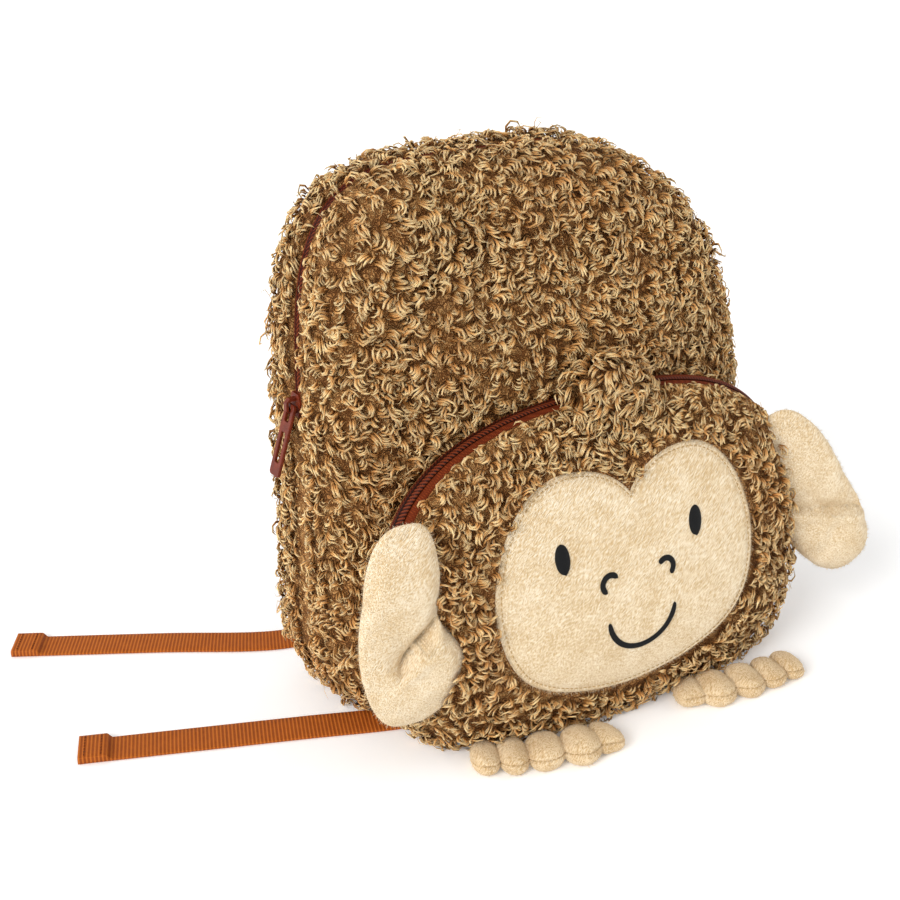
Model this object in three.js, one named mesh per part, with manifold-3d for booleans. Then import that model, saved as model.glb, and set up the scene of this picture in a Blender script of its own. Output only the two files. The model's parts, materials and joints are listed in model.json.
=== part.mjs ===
// A toddler's plush monkey backpack: a curly pile bag with an arched top, a front pocket that is the
// monkey's head, stuffed ears and feet, two zips, and webbing shoulder straps.
// Millimetres, +Z up. The front looks along -Y, and the origin is on the floor under the main bag.
import * as THREE from "three";
import { mergeVertices } from "three/addons/utils/BufferGeometryUtils.js";
import Module from "manifold-3d";

const wasm = await Module();
wasm.setup();

// Driving dimensions
const GAP = 0.35; // between pieces that are sewn together
const PILE_WALL = 4; // knitted backing with the dense foot of its pile
const CLOTH_WALL = 2.5; // plain back panel
const LOCK = 2.2; // how far the pile's locks stand proud of their wall
const WEB_WIDTH = 20;
const WEB_THICK = 1.5;
const HEM_LENGTH = 14;
const HEM_THICK = 4.2;

// Main bag: an arched outline carried through its depth on a rounded edge. It is filled out square at
// its left shoulder and slopes off at its right one.
const BAG = {
  halfWidth: 132,
  leftWidth: 132,
  middle: 128,
  above: 160,
  below: 140,
  rightPower: 2.0,
  leftPower: 4.4,
  basePower: 4.8,
  frontPower: 2.7,
  backPower: 4.4,
  seam: 45, // degrees round the edge, where front and back panels meet the gusset
  zipAt: -4,
  zipHalf: 4.4,
  zipFrom: 18, // degrees round the outline, from the bag's right side to its left
  zipTo: 162,
};
const BAG_SECTIONS = [
  { z: 0, share: 0.94, front: -47, back: 39 },
  { z: 45, share: 1.0, front: -56, back: 45 },
  { z: 150, share: 1.0, front: -57, back: 47 },
  { z: 225, share: 0.99, front: -50, back: 43 },
  { z: 300, share: 0.96, front: -39, back: 35 },
];
const BAG_DENTS = [
  { x: -54, z: 262, wide: 26, tall: 26, depth: 12 },
  { x: -14, z: 236, wide: 40, tall: 22, depth: 7 },
];

// Front pocket: a D outline that swells off the bag's front and tucks in at its foot. Its right side
// stands further forward than its left.
const POCKET = {
  halfWidth: 135,
  leftWidth: 120,
  middle: 80,
  above: 96,
  below: 100,
  rightPower: 2.35,
  leftPower: 2.8,
  basePower: 2.8,
  frontPower: 2.5,
  backPower: 2.5,
  foot: -32, // degrees round the edge, where it is sewn to the bag
  zipFrom: -14,
  zipTo: 11,
  zipLow: 12, // degrees round the outline
  zipHigh: 168,
  skew: 0.04,
};
const POCKET_FRONT = [
  { z: 0, front: -103 },
  { z: 25, front: -108 },
  { z: 60, front: -109 },
  { z: 95, front: -104 },
  { z: 130, front: -98 },
  { z: 180, front: -91 },
];

// Face: a velvet patch on the pocket, and the stitched features on it
const PATCH = { middle: 86, lift: 0.6, thick: 2.0, spokes: 40, rings: 3 };
const EYE = { x: 41.5, z: 109.5, halfWide: 4.6, halfTall: 8.6 };
const NOSTRIL = { x: 17.5, z: 90, radius: 4.8, from: 35, to: 235 };
const MOUTH = { z: 68, radius: 21, from: 186, to: 354 };
const STITCH = { width: 2.6, thick: 0.9 };

// Ears: stuffed discs sewn to the pocket's sides. Each has a pleat along a line of its face, and the
// lobe under the pleat folds forward.
const EARS = [
  { name: "ear_left", side: -1, x: -99, y: -89, z: 90, halfWide: 26, halfTall: 51, turn: 6, tilt: 4 },
  { name: "ear_right", side: 1, x: 117, y: -84, z: 80, halfWide: 25.5, halfTall: 57, turn: -20, tilt: -32 },
];
const PLEATS = {
  ear_left: { fromOut: 8, fromUp: 10, toOut: 25, toUp: -14, nip: 0.5 },
  ear_right: { fromOut: 4, fromUp: 6, toOut: 70, toUp: -50, nip: 0 },
};
const EAR_THICK = 6.5;
const EAR_PLEAT = { depth: 7, width: 7, lift: 5 };

// Feet: five stuffed toes in a row each
const FEET = [
  { name: "foot_left", side: -1, x: -53.5, y: -105, turn: -23 },
  { name: "foot_right", side: 1, x: 75, y: -110.5, turn: -5 },
];
const TOES = [
  { along: -35, forward: 0, wide: 10, long: 14, tall: 9.5 },
  { along: -19, forward: 4, wide: 10, long: 15, tall: 10 },
  { along: -1, forward: 6, wide: 11, long: 16, tall: 10.5 },
  { along: 18, forward: 4, wide: 11.5, long: 16, tall: 10.5 },
  { along: 35, forward: -4, wide: 9.5, long: 14, tall: 9 },
];

// Tuft of hair over the middle of the pocket's zip
const TUFT = { x: 4, y: -69, z: 172, halfWide: 26, halfDeep: 17, halfTall: 14, locks: 6 };

// Straps: padded shoulder straps, and webbing through a plain adjuster at their lower ends. off is
// how far a place stands behind the back panel.
const STRAP_X = 46;
const STRAP_PATH = [
  { z: 250, off: 1.2, half: 19, thick: 6 },
  { z: 232, off: 9, half: 20, thick: 7 },
  { z: 190, off: 22, half: 21, thick: 7 },
  { z: 145, off: 25, half: 20, thick: 7 },
  { z: 107.2, off: 17, half: 14, thick: 5 },
];
const ADJUSTER = { z: 96, off: 17.5, halfWide: 17, halfTall: 10.5, thick: 4.4, bar: 3 };
const LOWER_WEB = [
  { z: 22, off: 1.2 },
  { z: 40, off: 5 },
  { z: 64, off: 12 },
  { z: 85.1, off: 16.4 },
];
const TAIL_LEFT = [
  { x: -46, y: 65.5, z: 85.1, across: 180 },
  { x: -46, y: 70, z: 50, across: 180 },
  { x: -46, y: 67, z: 16, across: 180 },
  { x: -46, y: 51, z: 2, across: 180 },
  { x: -46, y: 25, z: 0.75, across: 180 },
  { x: -46, y: -4, z: 0.75, across: 180 },
  { x: -50.4, y: -21.8, z: 0.75, across: 152 },
  { x: -62.7, y: -35.5, z: 0.75, across: 124 },
  { x: -80, y: -41.8, z: 0.75, across: 96 },
  { x: -98.2, y: -39.2, z: 0.75, across: 70 },
  { x: -150, y: -17.8, z: 0.75, across: 67.6 },
  { x: -205, y: 5, z: 0.75, across: 67.6 },
  { x: -256, y: 26, z: 0.75, across: 67.6 },
];
const TAIL_RIGHT = [
  { x: 46, y: 65.5, z: 85.1, across: 0 },
  { x: 46, y: 70, z: 58, across: 14 },
  { x: 39, y: 72, z: 24, across: 62 },
  { x: 20, y: 72, z: 4, across: 84 },
  { x: -4, y: 70, z: 0.75, across: 88 },
  { x: -50, y: 64, z: 0.75, across: 86 },
  { x: -92, y: 60, z: 0.75, across: 80 },
  { x: -122, y: 66, z: 0.75, across: 66 },
  { x: -180, y: 100, z: 0.75, across: 60 },
  { x: -253, y: 142, z: 0.75, across: 60 },
];

// Slider and pull of the main zip, in their own frame: out of the bag, down the zip, across the zip
const SLIDER = { half: 5, long: 6, plate: 2.6, crownHalf: 4, crownTop: 8.2, crownThick: 2.8, hole: 2.5 };
const PULL = {
  pivot: 4.8,
  bar: 1.8,
  half: 4.6,
  window: 2.1,
  bridgeFrom: 8.5,
  slotFrom: 14,
  slotTo: 30,
  end: 37,
  lean: 16,
};

// Finishes
const finish = (color, roughness, metalness = 0) =>
  new THREE.MeshStandardMaterial({ color, roughness, metalness });
const CURLY_PILE = finish(0xa9865a, 0.95);
const CREAM_VELVET = finish(0xe6cda2, 0.9);
const BROWN_CLOTH = finish(0x7a3a1c, 0.85);
const BROWN_WEB = finish(0xa3561f, 0.75);
const ZIP_COIL = finish(0x4a1a0c, 0.5);
const PAINTED_METAL = finish(0x7c2d14, 0.4, 0.4);
const MATTE_PLASTIC = finish(0x3a1e12, 0.5);
const BLACK_THREAD = finish(0x16181a, 0.6);

const radians = THREE.MathUtils.degToRad;
const backpack = new THREE.Group();

// Adds one named piece to a group.
function piece(group, name, geometry, material) {
  const mesh = new THREE.Mesh(geometry, material);
  mesh.name = name;
  group.add(mesh);
  return mesh;
}

// Reads a column of a table at a key, on a smooth curve through its rows.
function column(rows, key, name, at) {
  const last = rows.length - 1;
  const i = Math.min(Math.max(rows.findIndex((row) => row[key] > at) - 1, 0), last - 1);
  const k = at >= rows[last][key] ? last - 1 : i;
  const slope = (j) => {
    const a = rows[Math.max(j - 1, 0)];
    const b = rows[Math.min(j + 1, last)];
    return (b[name] - a[name]) / (b[key] - a[key]);
  };
  const span = rows[k + 1][key] - rows[k][key];
  const t = Math.min(Math.max((at - rows[k][key]) / span, 0), 1);
  const rest = 1 - t;
  return (
    rows[k][name] * (1 + 2 * t) * rest * rest +
    rows[k + 1][name] * (3 - 2 * t) * t * t +
    span * t * rest * (slope(k) * rest - slope(k + 1) * t)
  );
}

// Radius of a superellipse along an angle.
function superRadius(angle, wide, high, power) {
  const across = Math.abs(Math.cos(angle)) / wide;
  const up = Math.abs(Math.sin(angle)) / high;
  return 1 / (across ** power + up ** power) ** (1 / power);
}

// How far out of the middle, and how far to the front, a point round a form's rounded edge lies.
function edge(form, over) {
  const angle = radians(over);
  const radius = superRadius(angle, 1, 1, over > 0 ? form.frontPower : form.backPower);
  return { reach: radius * Math.cos(angle), side: radius * Math.sin(angle) };
}

// Radius of a form's outline along an angle, inset from its outer face.
function outline(form, angle, inset) {
  const up = Math.sin(angle) >= 0;
  const high = (up ? form.above : form.below) - inset;
  const right = Math.cos(angle) > 0;
  const wide = (right ? form.halfWidth : form.leftWidth) - inset;
  const arch = right ? form.rightPower : form.leftPower;
  return superRadius(angle, wide, high, up ? arch : form.basePower);
}

// How far to the front a form's skin is at a share of the way out to its outline.
function sideAt(form, reach, facing) {
  const power = facing > 0 ? form.frontPower : form.backPower;
  return facing * (1 - Math.min(reach, 1) ** power) ** (1 / power);
}

const section = (name, z) => column(BAG_SECTIONS, "z", name, z);

// Dents of the bag's front, as smooth hollows that push it back.
function dent(x, z) {
  return BAG_DENTS.reduce((sum, hollow) => {
    const across = (x - hollow.x) / hollow.wide;
    const up = (z - hollow.z) / hollow.tall;
    return sum + hollow.depth * Math.exp(-across * across - up * up);
  }, 0);
}

// Depth of the bag's skin at a place in its front view. side is 1 at the front and -1 at the back.
function bagDepth(x, z, side, inset) {
  const front = section("front", z) + inset;
  const back = section("back", z) - inset;
  const hollow = dent(x, z) * Math.max(side, 0) ** 2;
  return (front + back) / 2 - (side * (back - front)) / 2 + hollow;
}

// A point of the main bag's skin. Angles are round its outline and round its edge, in degrees.
function bagPoint(round, over, inset) {
  const angle = radians(round);
  const { reach, side } = edge(BAG, over);
  const radius = reach * outline(BAG, angle, inset);
  const z = Math.max(BAG.middle + radius * Math.sin(angle), inset, 0);
  const x = radius * Math.cos(angle) * section("share", z);
  return new THREE.Vector3(x, bagDepth(x, z, side, inset), z);
}

// Depth of the bag's front face, or with facing -1 of its back, at a place in its front view.
function bagFace(x, z, facing) {
  const flat = x / section("share", z);
  const angle = Math.atan2(z - BAG.middle, flat);
  const reach = Math.hypot(flat, z - BAG.middle) / outline(BAG, angle, 0);
  return bagDepth(x, z, sideAt(BAG, reach, facing), 0);
}

const POCKET_FOOT = edge(POCKET, POCKET.foot);

// Depth of the pocket's skin, from its foot on the bag to its front. The foot lies where the angle's
// line runs into the bag's front.
function pocketDepth(x, z, side, inset) {
  const angle = Math.atan2(z - POCKET.middle, x);
  const radius = POCKET_FOOT.reach * outline(POCKET, angle, inset);
  const low = Math.max(POCKET.middle + radius * Math.sin(angle), 0);
  const foot = bagFace(radius * Math.cos(angle), low, 1) - GAP;
  const front = column(POCKET_FRONT, "z", "front", z) - POCKET.skew * x + inset;
  return foot + ((front - foot) * (side - POCKET_FOOT.side)) / (1 - POCKET_FOOT.side);
}

// A point of the pocket's skin. Angles are as for the main bag.
function pocketPoint(round, over, inset) {
  const angle = radians(round);
  const { reach, side } = edge(POCKET, over);
  const radius = reach * outline(POCKET, angle, inset);
  const z = Math.max(POCKET.middle + radius * Math.sin(angle), inset, 0);
  const x = radius * Math.cos(angle);
  return new THREE.Vector3(x, pocketDepth(x, z, side, inset), z);
}

// Share of the pocket's outline that a place in the front view lies at.
function pocketReach(x, z) {
  const angle = Math.atan2(z - POCKET.middle, x);
  return Math.hypot(x, z - POCKET.middle) / outline(POCKET, angle, 0);
}

// A point on the face, lifted off the pocket's front.
function onFace(x, z, lift) {
  return new THREE.Vector3(x, pocketDepth(x, z, sideAt(POCKET, pocketReach(x, z), 1), 0) - lift, z);
}

// A closed geometry from points and triangles, with its faces turned outwards.
function closed(points, triangles) {
  const volume = triangles.reduce((sum, [a, b, c]) => {
    return sum + points[a].dot(new THREE.Vector3().crossVectors(points[b], points[c]));
  }, 0);
  const index = triangles.flatMap(([a, b, c]) => (volume > 0 ? [a, b, c] : [a, c, b]));
  return new THREE.BufferGeometry().setFromPoints(points).setIndex(index);
}

// Two triangles for each cell between two rows of vertex numbers.
function strip(first, second) {
  return first.slice(1).flatMap((_, i) => [
    [first[i], first[i + 1], second[i + 1]],
    [first[i], second[i + 1], second[i]],
  ]);
}

// A wall between an outer and an inner skin, over ranges of the two angles. A panel runs all the way
// round and closes on its middle. proud says how far a place's locks stand out of the wall.
function wall(skin, { round, over, cells, outer = 0, inner, panel = false, proud = () => 0 }) {
  const points = [];
  const [aroundCells, overCells] = cells;
  const layer = (inset, locks) => {
    const rows = [];
    for (let j = 0; j <= overCells; j += 1) {
      const tilt = THREE.MathUtils.lerp(over[0], over[1], j / overCells);
      const middle = panel && j === overCells;
      const row = [];
      for (let i = 0; i <= aroundCells; i += 1) {
        const shared = middle ? i > 0 : panel && i === aroundCells;
        if (shared) {
          row.push(row[0]);
          continue;
        }
        const turn = THREE.MathUtils.lerp(round[0], round[1], i / aroundCells);
        const rim = j === 0 || j === overCells || (!panel && (i === 0 || i === aroundCells));
        const raised = locks && !rim && (i + j) % 2 ? proud(skin(turn, tilt, inset)) : 0;
        row.push(points.push(skin(turn, tilt, inset - raised)) - 1);
      }
      rows.push(row);
    }
    return rows;
  };
  const out = layer(outer, true);
  const into = layer(inner, false);
  const sides = (rows, way) => rows.slice(1).flatMap((row, j) => strip(rows[j + way], rows[j + 1 - way]));
  const triangles = [...sides(out, 0), ...sides(into, 1), ...strip(into[0], out[0])];
  if (!panel) {
    const edgeOf = (rows, i) => rows.map((row) => row[i]);
    triangles.push(...strip(out[overCells], into[overCells]));
    triangles.push(...strip(edgeOf(out, 0), edgeOf(into, 0)));
    triangles.push(...strip(edgeOf(into, aroundCells), edgeOf(out, aroundCells)));
  }
  const whole = triangles.filter(([a, b, c]) => a !== b && b !== c && a !== c);
  return closed(points, whole);
}

// A stuffed form: two faces that share their rim. shape gives a point from the angle, the share of
// the way out to the rim, and the side.
function pillow(shape, spokes, rings) {
  const points = [];
  const ring = (reach, side) =>
    Array.from({ length: spokes }, (_, i) => points.push(shape((i / spokes) * 360, reach, side)) - 1);
  const rim = ring(1, 0);
  const triangles = [1, -1].flatMap((side) => {
    const rows = [rim];
    for (let j = rings - 1; j > 0; j -= 1) rows.push(ring(j / rings, side));
    const middle = points.push(shape(0, 0, side)) - 1;
    const loops = rows.map((row) => [...row, row[0]]);
    const skin = loops.slice(1).flatMap((row, j) => strip(loops[j], row));
    const inner = loops[loops.length - 1];
    skin.push(...inner.slice(1).map((_, i) => [inner[i], inner[i + 1], middle]));
    return side > 0 ? skin : skin.map(([a, b, c]) => [a, c, b]);
  });
  return closed(points, triangles);
}

// A band lofted through sections, each a ring of corners.
function loft(sections) {
  const corners = sections[0].length;
  const points = sections.flat();
  const ring = (j) => Array.from({ length: corners + 1 }, (_, i) => j * corners + (i % corners));
  const triangles = sections.slice(1).flatMap((_, j) => strip(ring(j), ring(j + 1)));
  const last = (sections.length - 1) * corners;
  for (let i = 1; i < corners - 1; i += 1) {
    triangles.push([0, i + 1, i], [last, last + i, last + i + 1]);
  }
  return closed(points, triangles);
}

// A geometry as a solid that can be joined and cut.
function solid(geometry) {
  const bare = geometry.clone();
  bare.deleteAttribute("normal");
  bare.deleteAttribute("uv");
  const merged = mergeVertices(bare, 1e-4);
  return new wasm.Manifold(
    new wasm.Mesh({
      numProp: 3,
      vertProperties: new Float32Array(merged.attributes.position.array),
      triVerts: new Uint32Array(merged.index.array),
    }),
  );
}

// A joined or cut solid as a geometry.
function geometryOf(made) {
  const mesh = made.getMesh();
  return new THREE.BufferGeometry()
    .setAttribute("position", new THREE.BufferAttribute(new Float32Array(mesh.vertProperties), 3))
    .setIndex(new THREE.BufferAttribute(new Uint32Array(mesh.triVerts), 1));
}

const fused = (geometries) => geometries.map(solid).reduce((sum, next) => sum.add(next));

// A filled form from its foot angle to its front, grown by a clearance, that neighbours are cut by.
function filled(skin, from, clearance) {
  const across = 60;
  const points = [];
  const rows = [];
  for (let over = from; over < 90; over += 7) {
    const row = Array.from({ length: across }, (_, i) => {
      return points.push(skin((i / across) * 360, over, -clearance)) - 1;
    });
    rows.push([...row, row[0]]);
  }
  const cap = (row) => {
    const middle = new THREE.Vector3();
    row.slice(1).forEach((i) => middle.addScaledVector(points[i], 1 / across));
    const tip = points.push(middle) - 1;
    return row.slice(1).map((_, i) => [row[i], row[i + 1], tip]);
  };
  const triangles = rows.slice(1).flatMap((row, j) => strip(rows[j], row));
  triangles.push(...cap(rows[0]).map(([a, b, c]) => [b, a, c]), ...cap(rows[rows.length - 1]));
  return solid(closed(points, triangles));
}

const POCKET_BLOCK = filled(pocketPoint, POCKET.foot, LOCK + 2 * GAP);
const POCKET_SKIN = filled(pocketPoint, POCKET.foot, GAP);
const BAG_BLOCK = filled(bagPoint, -86, LOCK + 2 * GAP);

// Main bag

const mainBag = new THREE.Group();
backpack.add(mainBag);

const STEP = 6; // degrees round the outlines between the walls' vertices, which meet at the seams
const cellsOver = (degrees) => Math.round(degrees / STEP);
const half = GAP / 2; // taken off each side of a seam, in millimetres or near enough in degrees
const clearOfPocket = ({ x, z }) => (pocketReach(x, z) > 1.12 ? LOCK : 0);
const offFloor = ({ z }) => (z > 8 ? LOCK : 0);

function bagPanels() {
  const around = [0, 360];
  piece(
    mainBag,
    "front_panel",
    wall(bagPoint, {
      round: around,
      over: [BAG.seam + half, 90],
      cells: [cellsOver(360), 4],
      inner: PILE_WALL,
      panel: true,
      proud: clearOfPocket,
    }),
    CURLY_PILE,
  );
  piece(
    mainBag,
    "back_panel",
    wall(bagPoint, {
      round: around,
      over: [-BAG.seam - half, -90],
      cells: [cellsOver(360), 2],
      inner: CLOTH_WALL,
      panel: true,
    }),
    BROWN_CLOTH,
  );
}

function bagGusset(under) {
  const arch = [BAG.zipFrom + half / 2, BAG.zipTo - half / 2];
  const zipFront = BAG.zipAt + BAG.zipHalf;
  const zipBack = BAG.zipAt - BAG.zipHalf;
  piece(
    mainBag,
    "zip_gusset_front",
    wall(bagPoint, {
      round: arch,
      over: [zipFront + half, BAG.seam - half],
      cells: [cellsOver(BAG.zipTo - BAG.zipFrom), 5],
      inner: PILE_WALL,
      proud: () => LOCK,
    }),
    CURLY_PILE,
  );
  piece(
    mainBag,
    "zip_gusset_back",
    wall(bagPoint, {
      round: arch,
      over: [-BAG.seam + half, zipBack - half],
      cells: [cellsOver(BAG.zipTo - BAG.zipFrom), 2],
      inner: PILE_WALL,
      proud: () => LOCK,
    }),
    CURLY_PILE,
  );
  const base = wall(bagPoint, {
    round: [BAG.zipTo + half / 2, 360 + BAG.zipFrom - half / 2],
    over: [-BAG.seam + half, BAG.seam - half],
    cells: [cellsOver(360 + BAG.zipFrom - BAG.zipTo), 6],
    inner: PILE_WALL,
    proud: (point) => Math.min(clearOfPocket(point), offFloor(point)),
  });
  piece(mainBag, "base_gusset", geometryOf(solid(base).subtract(under)), CURLY_PILE);
}

function bagZip() {
  const arch = [BAG.zipFrom + half, BAG.zipTo - half];
  const strand = (reach, outer, inner) =>
    wall(bagPoint, {
      round: arch,
      over: [BAG.zipAt - reach, BAG.zipAt + reach],
      cells: [cellsOver(BAG.zipTo - BAG.zipFrom), 1],
      outer,
      inner,
    });
  piece(mainBag, "main_zip_tape", strand(BAG.zipHalf - half, 1.2, 2.4), BROWN_CLOTH);
  piece(mainBag, "main_zip_chain", strand(2.4, -1, 1.2 - GAP), ZIP_COIL);
}

// A plate cut to an outline in the zip's own frame and raised out of the bag.
function plate(shape, from, to) {
  return new THREE.ExtrudeGeometry(shape, { depth: to - from, bevelEnabled: false }).translate(0, 0, from);
}

function rectangle(x0, x1, y0, y1, kind = THREE.Shape) {
  return new kind()
    .moveTo(x0, y0)
    .lineTo(x1, y0)
    .lineTo(x1, y1)
    .lineTo(x0, y1)
    .closePath();
}

// The slider at the zip's left end, and its pull, which swings on the bar under the slider's crown.
// Here x runs across the zip, y runs down it, and z runs out of the bag.
function bagSlider() {
  const foot = BAG.zipTo - 2.4;
  const seat = bagPoint(foot, BAG.zipAt, -1 - GAP);
  const run = bagPoint(foot + 1, BAG.zipAt, -1).sub(bagPoint(foot - 1, BAG.zipAt, -1));
  const across = new THREE.Vector3(0, 1, 0);
  const out = new THREE.Vector3().crossVectors(across, run).normalize();
  const down = new THREE.Vector3().crossVectors(out, across);
  const frame = new THREE.Group();
  frame.position.copy(seat);
  frame.quaternion.setFromRotationMatrix(new THREE.Matrix4().makeBasis(across, down, out));
  mainBag.add(frame);

  const body = new THREE.Shape()
    .moveTo(-SLIDER.half * 0.6, SLIDER.long)
    .lineTo(-SLIDER.half, -SLIDER.long * 0.3)
    .lineTo(-SLIDER.half * 0.7, -SLIDER.long)
    .lineTo(SLIDER.half * 0.7, -SLIDER.long)
    .lineTo(SLIDER.half, -SLIDER.long * 0.3)
    .lineTo(SLIDER.half * 0.6, SLIDER.long)
    .closePath();
  const crown = new THREE.Shape()
    .moveTo(-SLIDER.crownHalf, 1)
    .lineTo(SLIDER.crownHalf, 1)
    .lineTo(SLIDER.crownHalf, SLIDER.crownTop - 2)
    .lineTo(SLIDER.crownHalf - 2, SLIDER.crownTop)
    .lineTo(2 - SLIDER.crownHalf, SLIDER.crownTop)
    .lineTo(-SLIDER.crownHalf, SLIDER.crownTop - 2)
    .closePath();
  crown.holes.push(
    rectangle(-SLIDER.hole, SLIDER.hole, SLIDER.plate, PULL.pivot + SLIDER.hole - 0.4, THREE.Path),
  );
  const arch = plate(crown, -SLIDER.crownThick / 2, SLIDER.crownThick / 2);
  arch.rotateX(Math.PI / 2).rotateZ(Math.PI / 2);
  piece(frame, "main_zip_slider", geometryOf(fused([plate(body, 0, SLIDER.plate), arch])), PAINTED_METAL);

  const bar = PULL.bar / 2;
  const tab = rectangle(-PULL.half, PULL.half, -bar, PULL.end);
  tab.holes.push(rectangle(-PULL.window, PULL.window, bar, PULL.bridgeFrom, THREE.Path));
  tab.holes.push(rectangle(-PULL.window, PULL.window, PULL.slotFrom, PULL.slotTo, THREE.Path));
  const pull = piece(frame, "main_zip_pull", plate(tab, -bar, bar), PAINTED_METAL);
  pull.position.set(0, 0, PULL.pivot);
  pull.rotation.x = radians(PULL.lean);
}

// Front pocket

const pocket = new THREE.Group();
backpack.add(pocket);

// A wall of the pocket, trimmed where it would press into the bag's front or the strap under it.
function trimmed(geometry, under) {
  const pressed = ["front_panel", "base_gusset"].map((name) => mainBag.getObjectByName(name));
  const made = pressed.reduce((left, mesh) => {
    return left.subtract(solid(mesh.geometry).translate([0, -GAP, 0]));
  }, solid(geometry).subtract(under));
  return geometryOf(largest(made));
}

function pocketPanels(under) {
  const arch = [POCKET.zipLow + half / 2, POCKET.zipHigh - half / 2];
  const bare = ({ x, z }) => ((x / 116) ** 2 + ((z - PATCH.middle) / 90) ** 2 > 1 && z > 8 ? LOCK : 0);
  const front = wall(pocketPoint, {
    round: [0, 360],
    over: [POCKET.zipTo + half, 90],
    cells: [cellsOver(360), 5],
    inner: PILE_WALL,
    panel: true,
    proud: bare,
  });
  piece(pocket, "pocket_front", front, CURLY_PILE);
  const top = wall(pocketPoint, {
    round: arch,
    over: [POCKET.foot, POCKET.zipFrom - half],
    cells: [cellsOver(POCKET.zipHigh - POCKET.zipLow), 2],
    inner: PILE_WALL,
    proud: () => LOCK * 0.6,
  });
  piece(pocket, "pocket_gusset_top", trimmed(top, under), CURLY_PILE);
  const base = wall(pocketPoint, {
    round: [POCKET.zipHigh + half / 2, 360 + POCKET.zipLow - half / 2],
    over: [POCKET.foot, POCKET.zipTo - 3 * half],
    cells: [cellsOver(360 + POCKET.zipLow - POCKET.zipHigh), 3],
    inner: PILE_WALL,
    proud: offFloor,
  });
  piece(pocket, "pocket_gusset_base", trimmed(base, under), CURLY_PILE);
}

function pocketZip() {
  const arch = [POCKET.zipLow + half, POCKET.zipHigh - half];
  const strand = (from, to, outer, inner) =>
    wall(pocketPoint, {
      round: arch,
      over: [from, to],
      cells: [cellsOver(POCKET.zipHigh - POCKET.zipLow), 1],
      outer,
      inner,
    });
  piece(pocket, "pocket_zip_tape", strand(POCKET.zipFrom, POCKET.zipTo, 1.2, 2.4), BROWN_CLOTH);
  const chainTo = POCKET.zipFrom + (POCKET.zipTo - POCKET.zipFrom) * 0.6;
  piece(pocket, "pocket_zip_chain", strand(POCKET.zipFrom + 0.6, chainTo, -1, 1.2 - GAP), ZIP_COIL);
}

// Outline of the face: two brow lobes over round cheeks and a broad chin, in the front view.
function faceOutline() {
  const right = new THREE.Path()
    .moveTo(0, 134)
    .bezierCurveTo(8, 146, 26, 152, 42, 150)
    .bezierCurveTo(62, 147, 76, 128, 81, 100)
    .bezierCurveTo(84, 78, 78, 52, 58, 40)
    .bezierCurveTo(42, 30, 20, 25, 0, 24);
  const points = right.getSpacedPoints(PATCH.spokes / 2);
  const left = points.slice(1, -1).reverse();
  return [...points, ...left.map((p) => new THREE.Vector2(-p.x, p.y))];
}

function facePatch() {
  const rim = faceOutline();
  const skin = (round, over, inset) => {
    const p = rim[Math.round((round / 360) * rim.length) % rim.length];
    const reach = 1 - over;
    return onFace(p.x * reach, PATCH.middle + (p.y - PATCH.middle) * reach, -inset);
  };
  const patch = wall(skin, {
    round: [0, 360],
    over: [0, 1],
    cells: [rim.length, PATCH.rings],
    outer: -PATCH.lift - PATCH.thick,
    inner: -PATCH.lift,
    panel: true,
  });
  piece(pocket, "face_patch", patch, CREAM_VELVET);
}

// Lifts of the stitched features' lower and upper faces off the pocket's front.
const STITCH_FOOT = PATCH.lift + PATCH.thick + GAP;
const STITCH_TOP = STITCH_FOOT + STITCH.thick;

// A satin stitched line along an arc in the front view.
function stitchedArc(x, z, radius, from, to, steps) {
  const inside = radius - STITCH.width / 2;
  const outside = radius + STITCH.width / 2;
  const sections = Array.from({ length: steps + 1 }, (_, i) => {
    const angle = radians(THREE.MathUtils.lerp(from, to, i / steps));
    const at = (r, lift) => onFace(x + r * Math.cos(angle), z + r * Math.sin(angle), lift);
    return [
      at(inside, STITCH_FOOT),
      at(outside, STITCH_FOOT),
      at(outside, STITCH_TOP),
      at(inside, STITCH_TOP),
    ];
  });
  return loft(sections);
}

function stitchedFace() {
  [-1, 1].forEach((side) => {
    const name = side < 0 ? "left" : "right";
    const eye = pillow(
      (turn, reach, face) => {
        const x = side * EYE.x + reach * EYE.halfWide * Math.cos(radians(turn));
        const z = EYE.z + reach * EYE.halfTall * Math.sin(radians(turn));
        const swell = (face * STITCH.thick * Math.sqrt(1 - reach * reach)) / 2;
        return onFace(x, z, STITCH_FOOT + STITCH.thick / 2 + swell);
      },
      14,
      2,
    );
    piece(pocket, `eye_${name}`, eye, BLACK_THREAD);
    const [from, to] = side < 0 ? [NOSTRIL.from, NOSTRIL.to] : [180 - NOSTRIL.to, 180 - NOSTRIL.from];
    const curl = stitchedArc(side * NOSTRIL.x, NOSTRIL.z, NOSTRIL.radius, from, to, 10);
    piece(pocket, `nostril_${name}`, curl, BLACK_THREAD);
  });
  piece(
    pocket,
    "mouth",
    stitchedArc(0, MOUTH.z, MOUTH.radius, MOUTH.from, MOUTH.to, 16),
    BLACK_THREAD,
  );
}

// How far the ear's pleat pushes a place of it back, and how far its lower lobe folds forward.
function pleat({ fromOut, fromUp, toOut, toUp }, out, up) {
  const along = new THREE.Vector2(toOut - fromOut, toUp - fromUp);
  const from = new THREE.Vector2(out - fromOut, up - fromUp);
  const share = from.dot(along) / along.lengthSq();
  const off = (along.x * from.y - along.y * from.x) / along.length();
  const fade = 1 - THREE.MathUtils.smoothstep(share, 0.3, 1.3);
  const sunk = THREE.MathUtils.smoothstep(share, -0.15, 0.5);
  const valley = EAR_PLEAT.depth * sunk * Math.exp(-((off / EAR_PLEAT.width) ** 2));
  const lobe = EAR_PLEAT.lift * THREE.MathUtils.smoothstep(-off, -1, 12);
  return (valley - lobe) * fade;
}

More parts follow.
